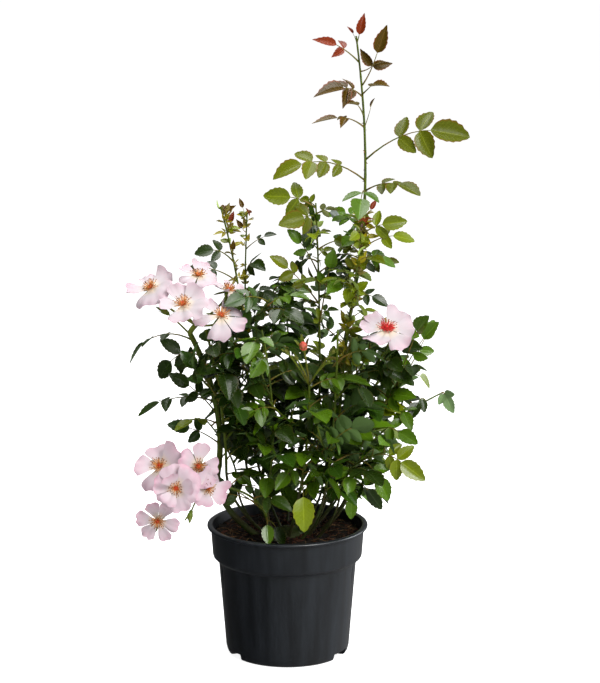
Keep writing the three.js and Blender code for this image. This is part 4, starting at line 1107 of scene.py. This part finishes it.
class ROSE_OT_soil(Operator):
    """Make the crumbly soil, its fibres and its bark chips"""

    bl_idname = "rose.make_soil"
    bl_label = "Soil"

    def execute(self, context):
        """Top: the point at ring r and angle a is (r cos a, r sin a, height of the soil there)."""
        settings = context.scene.rose_pot
        top = COLLAR_TOP - WALL - 1.0
        rings = np.linspace(0.012, 1, 84) * top
        angle = circle(240)
        x = rings[:, None] * np.cos(angle)
        y = rings[:, None] * np.sin(angle)
        z = self.height(x, y)
        base = FLOOR_TOP + 0.4
        sides = [(COLLAR_FOOT - WALL - 0.8, COLLAR_FOOT_Z + 2.2), (BODY_TOP - WALL - 0.8, BODY_TOP_Z + 2),
                 (BODY_FOOT - WALL - 0.4, base)]
        wall = np.array([[(r * math.cos(a), r * math.sin(a), h) for a in angle] for r, h in sides])
        skin = np.concatenate([np.stack([x, y, z], -1), wall])
        points, quads, tris = closed_skin(skin, (0, 0, z[0].mean()), (0, 0, base))
        made = Patches()
        made.add(points, quads[:, ::-1], tris[:, ::-1])
        material = mottled("Moist soil", settings.soil, settings.soil_dry, 0.7, 130.0, 700.0, 0.9, 0.9)
        made.piece("soil_surface", material, "soil", ["soil"])
        self.litter()
        return {"FINISHED"}

    def height(self, x, y):
        """The soil's level plus crossing waves plus three sizes of lumps."""
        waves = (
            np.sin(0.11 * x + 0.05 * y) + np.sin(0.07 * x - 0.13 * y + 1.7)
            + 0.6 * np.sin(0.21 * x + 0.17 * y + 0.4) + 0.6 * np.sin(0.19 * x - 0.24 * y + 2.9)
        )
        crumbs = 1.5 * lumps(x, y, 9.0, 11) + 1.1 * lumps(x, y, 4.2, 12) + 0.7 * lumps(x, y, 2.1, 13)
        return SOIL_Z + SOIL_BUMP * waves / 3.2 + crumbs

    def litter(self):
        """Fibres: short bent tubes lying on the soil. Chips: flat eggs, turned at random."""
        rng = np.random.default_rng(5)
        for name, count, size, thick, tint in (
            ("fibres_straw", 130, (8, 26), (0.3, 0.6), (112, 86, 56)),
            ("fibres_rust", 190, (6, 22), (0.25, 0.6), (82, 45, 29)),
        ):
            middle = strewn(rng, count, LITTER_RADIUS)
            way = rng.uniform(0, np.pi, count)
            heading = np.stack([np.cos(way), np.sin(way)], -1)
            length = rng.uniform(*size, count)
            t = np.linspace(-0.5, 0.5, 7)
            side = np.stack([-heading[:, 1], heading[:, 0]], -1)
            bow = rng.uniform(-0.25, 0.25, count)
            flat = middle[:, None] + heading[:, None] * (t[None] * length[:, None])[..., None]
            flat = flat + side[:, None] * ((t ** 2 * 4 * bow[:, None]) * length[:, None] * 0.5)[..., None]
            far = np.linalg.norm(flat, axis=-1, keepdims=True)
            flat = flat * np.minimum(1, (LITTER_RADIUS + 2) / far)
            z = self.height(flat[..., 0], flat[..., 1]) + 0.7
            z = z + rng.uniform(0, 1.6, (count, 1)) * np.cos(np.pi * t)[None]
            paths = np.concatenate([flat, z[..., None]], -1)
            radii = rng.uniform(*thick, (count, 1)) * np.array([0.5, 0.9, 1, 1, 1, 0.8, 0.4])
            made = Patches()
            made.add(*tubes(paths, radii, 5))
            light = linear(tint)
            dark = tuple(0.5 * c for c in light)
            material = mottled(name.replace("_", " "), light, dark, 0.8, 300.0, 900.0, 0.85, 0.3)
            made.piece(name, material, "soil")
        count = 170
        x, y = strewn(rng, count, LITTER_RADIUS + 1).T
        centre = np.stack([x, y, self.height(x, y) + 0.3], -1)
        way = unit(rng.normal(size=(count, 3)) * np.array([1, 1, 0.35]))
        made = Patches()
        chips = eggs(centre, way, rng.uniform(0.9, 2.6, count), rng.uniform(4, 10, count), 5, 6, 0.6)
        squash = np.array([1, 1, 0.55])
        made.add((chips[0] - centre[:, None]) * squash + centre[:, None], *chips[1:])
        material = mottled("Bark chips", linear((74, 48, 32)), linear((34, 22, 16)), 0.9, 160.0, 800.0,
                           0.85, 0.6)
        made.piece("bark_chips", material, "soil")


class ROSE_OT_canes(Operator):
    """Make the root crown, the woody canes and the green stems with their prickles"""

    bl_idname = "rose.make_canes"
    bl_label = "Canes and stems"

    def execute(self, context):
        """A limb is a ring of radius r along its curve; r tapers, swells at the nodes and has ridges."""
        settings = context.scene.rose_wood
        shoots, _, twigs = GROWN
        canes, stems = Patches(), Patches()
        for i, (name, shoot) in enumerate(shoots.items()):
            length = np.linalg.norm(shoot.neck - shoot.start) * 1.04
            foot, neck, tip = shoot.radii
            self.limb(canes, shoot.cane, 0, 1, length, foot, neck, 0.07, 16, 31 * i, 1.3)
            length = np.linalg.norm(shoot.tip - shoot.neck) * 1.04
            self.limb(stems, shoot.stem, -0.01, 1, length, neck, tip, 0.025, 10, 31 * i + 7, 1.0)
        for i, (start, lean, end) in enumerate(twigs):
            length = np.linalg.norm(end - start) * 1.04
            curve = lambda t: bend(start, lean, end, t)
            self.limb(stems, curve, 0, 1, length, 1.7, 0.9, 0.02, 7, 900 + i, 1.2)
        self.root(canes)
        bark = mottled("Cane bark", settings.cane, settings.bark, 0.85, 55.0, 420.0, 0.62, 0.55)
        canes.piece("canes", bark, "cane", [f"cane_{name}" for name in shoots] + ["root_crown"])
        green = mottled("Green stem", settings.stem, settings.cane, 0.7, 45.0, 500.0, 0.5, 0.2)
        stems.piece("green_stems", green, "cane", [f"foliage_{name}" for name in shoots])
        self.prickles(shoots, settings)
        return {"FINISHED"}

    def limb(self, made, curve, first, last, length, thick, thin, relief, sides, seed, flare):
        rings = int(max(14, length / (3.2 if sides > 12 else 5.0)))
        t = np.linspace(first, last, rings)
        run = t * length
        rng = np.random.default_rng(seed)
        nodes = np.arange(rng.uniform(8, 20), length, 34.0)
        swell = np.exp(-((run[:, None] - nodes) / 2.4) ** 2).sum(1)
        base = (thick + (thin - thick) * t) * (1 + 0.16 * swell) * (1 + (flare - 1) * np.exp(-run / 14))
        angle = circle(sides)
        ridges = np.sin(3 * angle + rng.uniform(0, 6)) * 0.4
        ridges = ridges + np.sin(5 * angle + run[:, None] * 0.06 + rng.uniform(0, 6)) * 0.6
        rough = rng.uniform(-1, 1, (rings, sides)) * 0.5
        made.add(*tube(curve(t), base[:, None] * (1 + relief * (ridges + rough)), sides))

    def root(self, made):
        """Knobbly dome: radius ROOT_RADIUS * profile * (1 + lobes of the angle), height from the profile."""
        profile = np.array([(1.0, -12), (1.02, -6), (0.98, -1), (0.9, 2.2), (0.76, 4.6), (0.58, 6.6),
                            (0.38, 8.2), (0.18, ROOT_RISE)])
        angle = circle(48)
        lobes = 1 + 0.05 * np.sin(3 * angle + 1) + 0.05 * np.sin(7 * angle + 2) + 0.03 * np.sin(13 * angle)
        r = ROOT_RADIUS * profile[:, :1] * lobes
        lift = profile[:, 1:] + 0.6 * np.sin(5 * angle + profile[:, :1] * 9)
        points = np.stack([1.1 * r * np.cos(angle) + 2, 0.9 * r * np.sin(angle) - 1, SOIL_Z + lift], -1)
        made.add(*closed_skin(points, (2, -1, SOIL_Z - 12), (2, -1, SOIL_Z + ROOT_RISE)))

    def prickles(self, shoots, settings):
        """Small hooked cones: rings that shrink along a short path which bends down towards its tip."""
        rng = np.random.default_rng(3)
        places, ways, downs, sizes = [], [], [], []
        for shoot in shoots.values():
            limbs = ((shoot.cane, shoot.radii[0], 0.15, 1), (shoot.stem, shoot.radii[1], 0.05, 0.7))
            for curve, radius, low, high in limbs:
                length = np.linalg.norm(curve(1.0) - curve(0.0))
                count = int(length / 15)
                t = np.clip(np.linspace(low, high, count) + rng.uniform(-0.02, 0.02, count), 0, 0.99)
                place = curve(t)
                along = unit(curve(t + 0.01) - place)
                way = rng.normal(size=(count, 3))
                way = unit(way - along * (way * along).sum(-1, keepdims=True))
                thick = radius * (1 - 0.2 * t)
                places.append(place + way * thick[:, None] * 0.8)
                ways.append(way)
                downs.append(along)
                sizes.append(rng.uniform(2.4, 4.4, count) * min(1, radius / 3.4))
        place, way, along, size = (np.concatenate(v) for v in (places, ways, downs, sizes))
        t = np.array([0, 0.35, 0.7, 1.0])
        size = size[:, None]
        paths = place[:, None] + way[:, None] * (t * size)[..., None]
        paths = paths - along[:, None] * (t ** 2 * 0.4 * size)[..., None]
        radii = 0.34 * size * np.array([1.0, 0.55, 0.28, 0.06])
        made = Patches()
        made.add(*tubes(paths, radii, 6))
        tip = mottled("Prickle", settings.prickle, settings.stem, 0.4, 80.0, 500.0, 0.5, 0.2)
        made.piece("prickles", tip, "cane")


class ROSE_OT_leaves(Operator):
    """Make the compound leaves: stalks and toothed leaflets, joined by tint"""

    bl_idname = "rose.make_leaves"
    bl_label = "Leaves"

    def execute(self, context):
        """Leaflets are blades(); stalks are thin tubes along each leaf's curve, wider at their foot."""
        settings = context.scene.rose_leaf
        wood = context.scene.rose_wood
        leaves = GROWN[1]
        stalks = Patches()
        t = np.linspace(0, 1, 8)
        curves = [np.array([leaf["path"][i] for leaf in leaves]) for i in range(3)]
        paths = np.stack([bend(*curves, q) for q in t], 1)
        taper = np.array([1.5, 1.25, 1.05, 0.95, 0.85, 0.75, 0.65, 0.55])
        sizes = np.array([min(1.0, leaf["length"][-1] / 26) for leaf in leaves])
        stalks.add(*tubes(paths, sizes[:, None] * taper, 5))
        stalk = mottled("Leaf stalk", wood.stalk, wood.prickle, 0.45, 70.0, 600.0, 0.5, 0.15)
        stalks.piece("leaf_stalks", stalk, "cane")
        rng = np.random.default_rng(17)
        for letter, name, under, rim, rim_amount in TINTS:
            mine = [leaf for leaf in leaves if leaf["tint"] == letter]
            base, along, normal, length = (
                np.concatenate([leaf[key] for leaf in mine]) for key in ("base", "along", "normal", "length")
            )
            tones = np.concatenate([np.full(len(leaf["length"]), rng.uniform(0.25, 0.75)) for leaf in mine])
            count = len(length)
            tones = np.clip(tones + rng.uniform(-0.12, 0.12, count), 0, 1)
            if letter == UNDERSIDE_TINT:
                normal = -normal
            narrow = letter in NARROW_TINTS
            width = settings.width * rng.uniform(0.9, 1.08, count) * (0.74 if narrow else 1.0)
            fold = rng.uniform(0.16, 0.6, count) + (0.25 if narrow else 0.0)
            arch, twist = rng.uniform(0.02, 0.2, count), rng.uniform(-0.3, 0.3, count)
            made = Patches()
            point = 1.15 if narrow else 0.85
            made.add(*blades(base, along, normal, length, width, fold, arch, twist, point=point), tone=tones)
            blade = getattr(settings, name)
            vein = tuple(min(1.0, gain * c + 0.012) for gain, c in zip((2.0, 1.9, 1.5), blade))
            material = leaf_material(f"Leaf {name}", blade, vein, linear(rim), rim_amount, linear(under),
                                     settings.roughness, 0.18 if letter in DULL_TINTS else 0.4)
            made.piece(f"leaves_{name}", material, "leaf", [f"foliage_{leaf['shoot']}" for leaf in mine])
        return {"FINISHED"}


class ROSE_OT_blooms(Operator):
    """Make the blooms, buds and hips: petals, stamens, sepals and stalks"""

    bl_idname = "rose.make_blooms"
    bl_label = "Blooms"

    def execute(self, context):
        """Lays out each bloom, then its stalk, the buds, all sepals and the materials."""
        settings = context.scene.rose_bloom
        shoots = GROWN[0]
        rng = np.random.default_rng(29)
        petals, rosy, threads, anthers, styles, red, green, stalks, pink = (Patches() for _ in range(9))
        forks = {name: vec(place) for name, _, place in CLUSTERS}
        sepal_rows = []
        for cluster, place, facing, diameter, count, wide, cup, inner in BLOOMS:
            centre, front = vec(place), unit(vec(facing))
            a, b = face_axes(front)
            radius = diameter / 2
            skin = rosy if cluster == "blooms_lower" else petals
            self.petals(skin, centre, front, a, b, radius, count, place[0], wide, cup, rng)
            if inner:
                self.petals(skin, centre + front * 2, front, a, b, radius * 0.72, inner, place[0] + 0.4, wide,
                            cup + 0.4, rng)
            thin, thick, star = (red, red, 1.7) if cluster == "bloom_right" else (threads, styles, 1.0)
            self.heart(thin, anthers, thick, centre, front, a, b, radius, star, rng)
            back = centre - front * 8
            green.add(*egg(centre - front * 6, front, 4.0, 13.0, 7, 10, 0.8))
            for k in range(5):
                out = spoke(a, b, place[0] + (k + 0.5) * 2 * np.pi / 5)
                along = unit(out * 0.9 - front * rng.uniform(0.1, 0.6))
                sepal_rows.append((centre - front * 2.5, along, unit(front + out * 0.2), 21.0))
            fork = forks[cluster]
            lean = back - front * 0.3 * np.linalg.norm(back - fork)
            t = np.linspace(0, 1, 14)
            stalks.add(*tube(bend(fork, lean, back, t), 1.5 + 0.5 * t ** 3, 8))
        for _, carrier, place in CLUSTERS:
            shoot = shoots[carrier]
            path = bend(shoot.tip, shoot.tip + shoot.leaving * 3, vec(place), np.linspace(0, 1, 6))
            stalks.add(*tube(path, np.full(6, shoot.radii[2]), 8))
        for name, t, place, radius, kind in BUDS:
            start, end = shoots[name].stem(t), vec(place)
            lean = start + (end - start) * 0.55 + shoots[name].leaving * 6
            stalks.add(*tube(bend(start, lean, end, np.linspace(0, 1, 10)), np.linspace(1.3, 1.1, 10), 7))
            axis = unit(end - lean)
            target = pink if kind == "pink" else green
            target.add(*egg(end, axis, radius * 0.95, radius * 3.3, 9, 12, 0.75))
            green.add(*egg(end - axis * radius * 1.3, axis, radius * 0.7, radius * 1.6, 7, 10, 0.8))
            side, other = face_axes(axis, UP + 0.1)
            for angle in circle(5):
                out = spoke(side, other, angle)
                foot = end - axis * radius * 0.9 + out * radius * 0.55
                sepal_rows.append((foot, unit(axis + out * 0.28), -out + axis * 0.28, radius * 3.4))
        base, along, normal, length = (np.array([row[i] for row in sepal_rows]) for i in range(4))
        normal = unit(normal - along * (normal * along).sum(-1, keepdims=True))
        n = len(length)
        width, fold = np.full(n, 0.26), np.full(n, 0.2)
        arch, twist = rng.uniform(-0.1, 0.15, n), rng.uniform(-0.2, 0.2, n)
        green.add(*blades(base, along, normal, length, width, fold, arch, twist, teeth=0.0))
        group = petal_group()
        for made, name, pale, blush, nodes in (
            (petals, "petals_pale", settings.pale, settings.blush, ["blooms_upper", "bloom_right"]),
            (rosy, "petals_rosy", settings.rose, settings.rose_blush, ["blooms_lower"]),
        ):
            material, tree, shader = new_material(name.replace("_", " ").capitalize())
            node = add_group(tree, group, Claw=settings.claw, Pale=pale, Blush=blush)
            tree.links.new(node.outputs["Colour"], shader.inputs["Base Color"])
            shader.inputs["Roughness"].default_value = 0.62
            shader.inputs["Subsurface Weight"].default_value = 0.15
            shader.inputs["Subsurface Radius"].default_value = (0.004, 0.002, 0.002)
            add_bump(tree, shader, node.outputs["Height"], 0.12, 0.0004)
            made.piece(name, material, "petal", nodes)
        heart, anther, style = settings.heart, settings.anther, settings.style
        stalk, bud = ((104, 122, 34), (112, 78, 44)), ((188, 62, 48), (222, 136, 116))
        for made, name, title, slot, first, second, *looks in (
            (threads, "filaments", "Filament", "petal", heart, anther, 0.35, 250.0, 900.0, 0.6, 0.1),
            (anthers, "anthers", "Anther", "petal", anther, heart, 0.3, 400.0, 1200.0, 0.75, 0.2),
            (styles, "styles", "Styles", "petal", style, heart, 0.35, 300.0, 1200.0, 0.6, 0.2),
            (red, "red_star", "Red star", "petal", settings.star, style, 0.5, 300.0, 1200.0, 0.6, 0.2),
            (green, "sepals_and_hips", "Sepal", "leaf", settings.sepal, linear((112, 92, 48)),
             0.5, 120.0, 700.0, 0.55, 0.2),
            (stalks, "bloom_stalks", "Bloom stalk", "cane", *map(linear, stalk), 0.5, 60.0, 600.0, 0.5, 0.2),
            (pink, "bud_tip", "Bud", "petal", *map(linear, bud), 0.6, 150.0, 700.0, 0.5, 0.1),
        ):
            made.piece(name, mottled(title, first, second, *looks), slot)
        return {"FINISHED"}

    def petals(self, made, centre, front, a, b, radius, count, turn, wide, cup, rng):
        """One ring of petals, each with its own size, lift, curl, side tilt and crease.

        At s out and w across the point is centre + e * R * (0.06 + 0.94 reach) + d * R * w * half(s)
        + front * R * rise, with e out along the petal and d square to it.
        half(s) = wide * (0.08 + 0.5 * sin(pi s / 2)^1.25); reach = s * (1 - 0.24 |w|^2.4 s) less a notch
        at the tip; rise = cup * s^1.1 + lift * s + curl * s^4 + tilt * w s - crease + waves of the rim.
        """
        rows, columns = 14, 15
        s = np.linspace(0, 1, rows)[:, None]
        w = np.linspace(-1, 1, columns)[None, :]
        uv = np.stack(np.broadcast_arrays(s, (w + 1) / 2), -1).reshape(-1, 2)
        for k in range(count):
            angle = (k + rng.uniform(-0.09, 0.09)) * 2 * np.pi / count + turn
            e = spoke(a, b, angle)
            d = np.cross(front, e)
            phase, lift, curl = rng.uniform(0, 6), rng.uniform(-0.16, 0.16), rng.uniform(-0.3, 0.16)
            size = radius * rng.uniform(0.86, 1.05)
            half = wide * rng.uniform(0.82, 1.1) * (0.08 + 0.5 * np.sin(0.5 * np.pi * s) ** 1.25)
            half = half * min(1.0, 5.6 / count)
            notch = rng.uniform(0.05, 0.13) * np.exp(-((w - rng.uniform(-0.15, 0.15)) / 0.3) ** 2) * s ** 6
            reach = s * (1 - 0.24 * np.abs(w) ** 2.4 * s) - notch
            waves = 0.06 * s ** 3 * np.sin(3.6 * w + phase) + 0.03 * s ** 4 * np.sin(8.5 * w + 2 * phase)
            crease = rng.uniform(-0.02, 0.05) * np.exp(-(w / 0.35) ** 2) * np.sin(np.pi * s ** 0.8)
            rise = cup * s ** 1.1 + lift * s + curl * s ** 4 + 0.11 * w * s - crease + waves
            points = centre + e * (size * (0.06 + 0.94 * reach))[..., None]
            points = points + d * (size * w * half)[..., None] + front * (size * rise)[..., None]
            faces = grid_faces(rows, columns)[:, ::-1]
            made.add(points.reshape(1, -1, 3), faces, (), uv, rng.uniform(0.1, 0.9))

    def heart(self, threads, anthers, styles, centre, front, a, b, radius, star, rng):
        """Stamens: thin tubes that fan out from a small ring, by a golden turn, each with a bead at its end.

        Rays: shorter and thicker tubes that lie flatter round a small knot of styles, longer with a
        larger star.
        """
        count = 52
        k = np.arange(count)
        angle = np.radians(GOLDEN * k) + rng.uniform(-0.2, 0.2, count)
        out = spoke(a, b, angle)
        spread = np.radians(24 + 54 * (k + 0.5) / count)[:, None]
        way = front * np.cos(spread) + out * np.sin(spread)
        foot = centre + front * 1.2 + out * (1.2 + 1.6 * (k / count))[:, None]
        length = rng.uniform(0.17, 0.31, count)[:, None] * radius
        t = np.array([0, 0.5, 1])
        paths = foot[:, None] + way[:, None] * (length * t)[..., None] + front * (t ** 2 * 1.2)[:, None]
        threads.add(*tubes(paths, np.full((count, 3), 0.3), 4))
        anthers.add(*eggs(paths[:, -1], unit(way + out), np.full(count, 0.6), np.full(count, 1.9), 3, 6, 0.8))
        styles.add(*egg(centre + front * 1.8, front, 2.4, 5.4, 7, 12, 0.6))
        rays = int(19 * star)
        out = spoke(a, b, np.radians(GOLDEN * np.arange(rays) + 20))
        tip = centre + front * 3.4 + out * (rng.uniform(0.1, 0.17, rays) * star * radius)[:, None]
        paths = (centre + front * 2.2) * (1 - t)[:, None] + tip[:, None] * t[:, None]
        styles.add(*tubes(paths, np.tile([0.9, 0.7, 0.3], (rays, 1)), 5))


class ROSE_OT_stage(Operator):
    """Set the floor, the soft lights and the camera"""

    bl_idname = "rose.set_stage"
    bl_label = "Stage"

    def execute(self, context):
        """A level floor disc, a bright world that is dimmer on the left, soft lights and one camera."""
        settings = context.scene.rose_stage
        scene = context.scene
        mesh = bpy.data.meshes.new("floor")
        corners = [(60 * math.cos(a), 60 * math.sin(a), -0.0005) for a in circle(64)]
        mesh.from_pydata(corners, [], [list(range(len(corners)))])
        floor = bpy.data.objects.new("floor", mesh)
        material, tree, shader = new_material("Floor")
        shader.inputs["Base Color"].default_value = (*settings.floor, 1)
        shader.inputs["Roughness"].default_value = 0.9
        shader.inputs["Specular IOR Level"].default_value = 0.1
        shader.inputs["Emission Color"].default_value = (0.86, 0.86, 0.86, 1)
        seen = tree.nodes.new("ShaderNodeLightPath").outputs["Is Camera Ray"]
        tree.links.new(seen, shader.inputs["Emission Strength"])
        mesh.materials.append(material)
        scene.collection.objects.link(floor)
        floor.visible_glossy = False
        self.sky(scene, settings)
        for name, place, size, power, tint in (
            ("key", (1.5, -1.9, 2.3), 1.5, settings.key, (1.0, 0.99, 0.97)),
            ("overhead", (-0.3, 0.3, 2.6), 1.6, settings.key * 0.52, (1.0, 1.0, 0.98)),
            ("edge", (2.1, 0.7, 0.9), 1.2, settings.key * 0.35, (0.9, 0.95, 1.0)),
            ("fill", (-1.8, -2.2, 1.2), 1.6, settings.key * 0.14, (1.0, 1.0, 1.0)),
        ):
            light = bpy.data.lights.new(name, "AREA")
            light.size = size
            light.energy = power
            light.color = tint
            lamp = bpy.data.objects.new(name, light)
            lamp.visible_glossy = name != "fill"
            scene.collection.objects.link(lamp)
            lamp.location = place
            aim = vec(place) - np.array([0, 0, 0.4])
            tilt = math.atan2(math.hypot(aim[0], aim[1]), aim[2])
            lamp.rotation_euler = (tilt, 0, math.atan2(aim[0], -aim[1]))
        camera = bpy.data.objects.new("camera", bpy.data.cameras.new("camera"))
        scene.collection.objects.link(camera)
        camera.location = (CAMERA_SIDE, -settings.distance, settings.height)
        camera.rotation_euler = (math.radians(90 - CAMERA_DOWN), 0, 0)
        camera.data.lens = CAMERA_LENS
        camera.data.sensor_width = CAMERA_SENSOR
        camera.data.clip_end = 200
        scene.camera = camera
        scene.view_settings.view_transform = "Standard"
        return {"FINISHED"}

    def sky(self, scene, settings):
        """White for the camera; for the light it is brighter to the right."""
        world = bpy.data.worlds.new("studio")
        scene.world = world
        world.use_nodes = True
        tree = world.node_tree
        tree.nodes.clear()
        place = tree.nodes.new("ShaderNodeTexCoord").outputs["Generated"]
        split = tree.nodes.new("ShaderNodeSeparateXYZ")
        tree.links.new(place, split.inputs[0])
        side = ramp(tree, split.outputs[0], -0.7, 0.9, 0.12, 1.35)
        soft = put(tree, "ShaderNodeBackground", Color=(1, 1, 1, 1))
        tree.links.new(maths(tree, "MULTIPLY", side, settings.ambient), soft.inputs["Strength"])
        plain = put(tree, "ShaderNodeBackground", Color=(1, 1, 1, 1), Strength=1.0)
        mix = tree.nodes.new("ShaderNodeMixShader")
        tree.links.new(tree.nodes.new("ShaderNodeLightPath").outputs["Is Camera Ray"], mix.inputs[0])
        tree.links.new(soft.outputs[0], mix.inputs[1])
        tree.links.new(plain.outputs[0], mix.inputs[2])
        end = tree.nodes.new("ShaderNodeOutputWorld")
        tree.links.new(mix.outputs[0], end.inputs[0])


class ROSE_PT_panel(Panel):
    """Lists the settings and the steps"""

    bl_idname = "ROSE_PT_panel"
    bl_label = "Potted shrub rose"
    bl_space_type = "VIEW_3D"
    bl_region_type = "UI"
    bl_category = "Rose"

    def draw(self, context):
        for step in STEPS:
            self.layout.operator(step.bl_idname, text=step.bl_label)
        for key in SETTINGS:
            box = self.layout.box()
            group = getattr(context.scene, key)
            for name in group.bl_rna.properties.keys():
                if name not in ("rna_type", "name"):
                    box.prop(group, name)


STEPS = (ROSE_OT_pot, ROSE_OT_soil, ROSE_OT_canes, ROSE_OT_leaves, ROSE_OT_blooms, ROSE_OT_stage)
SETTINGS = {
    "rose_pot": RosePotSettings,
    "rose_wood": RoseWoodSettings,
    "rose_leaf": RoseLeafSettings,
    "rose_bloom": RoseBloomSettings,
    "rose_stage": RoseStageSettings,
}
GROWN = grow()


def register():
    """Registers the settings, the operators and the panel."""
    for key, group in SETTINGS.items():
        bpy.utils.register_class(group)
        setattr(bpy.types.Scene, key, PointerProperty(type=group))
    for item in (*STEPS, ROSE_PT_panel):
        bpy.utils.register_class(item)


def unregister():
    """Takes them away again, in the other order."""
    for item in (ROSE_PT_panel, *reversed(STEPS)):
        bpy.utils.unregister_class(item)
    for key, group in reversed(list(SETTINGS.items())):
        delattr(bpy.types.Scene, key)
        bpy.utils.unregister_class(group)


def main():
    """Makes every piece in order."""
    register()
    bpy.ops.rose.make_pot()
    bpy.ops.rose.make_soil()
    bpy.ops.rose.make_canes()
    bpy.ops.rose.make_leaves()
    bpy.ops.rose.make_blooms()
    bpy.ops.rose.set_stage()
    bpy.context.view_layer.update()


if __name__ == "__main__":
    main()
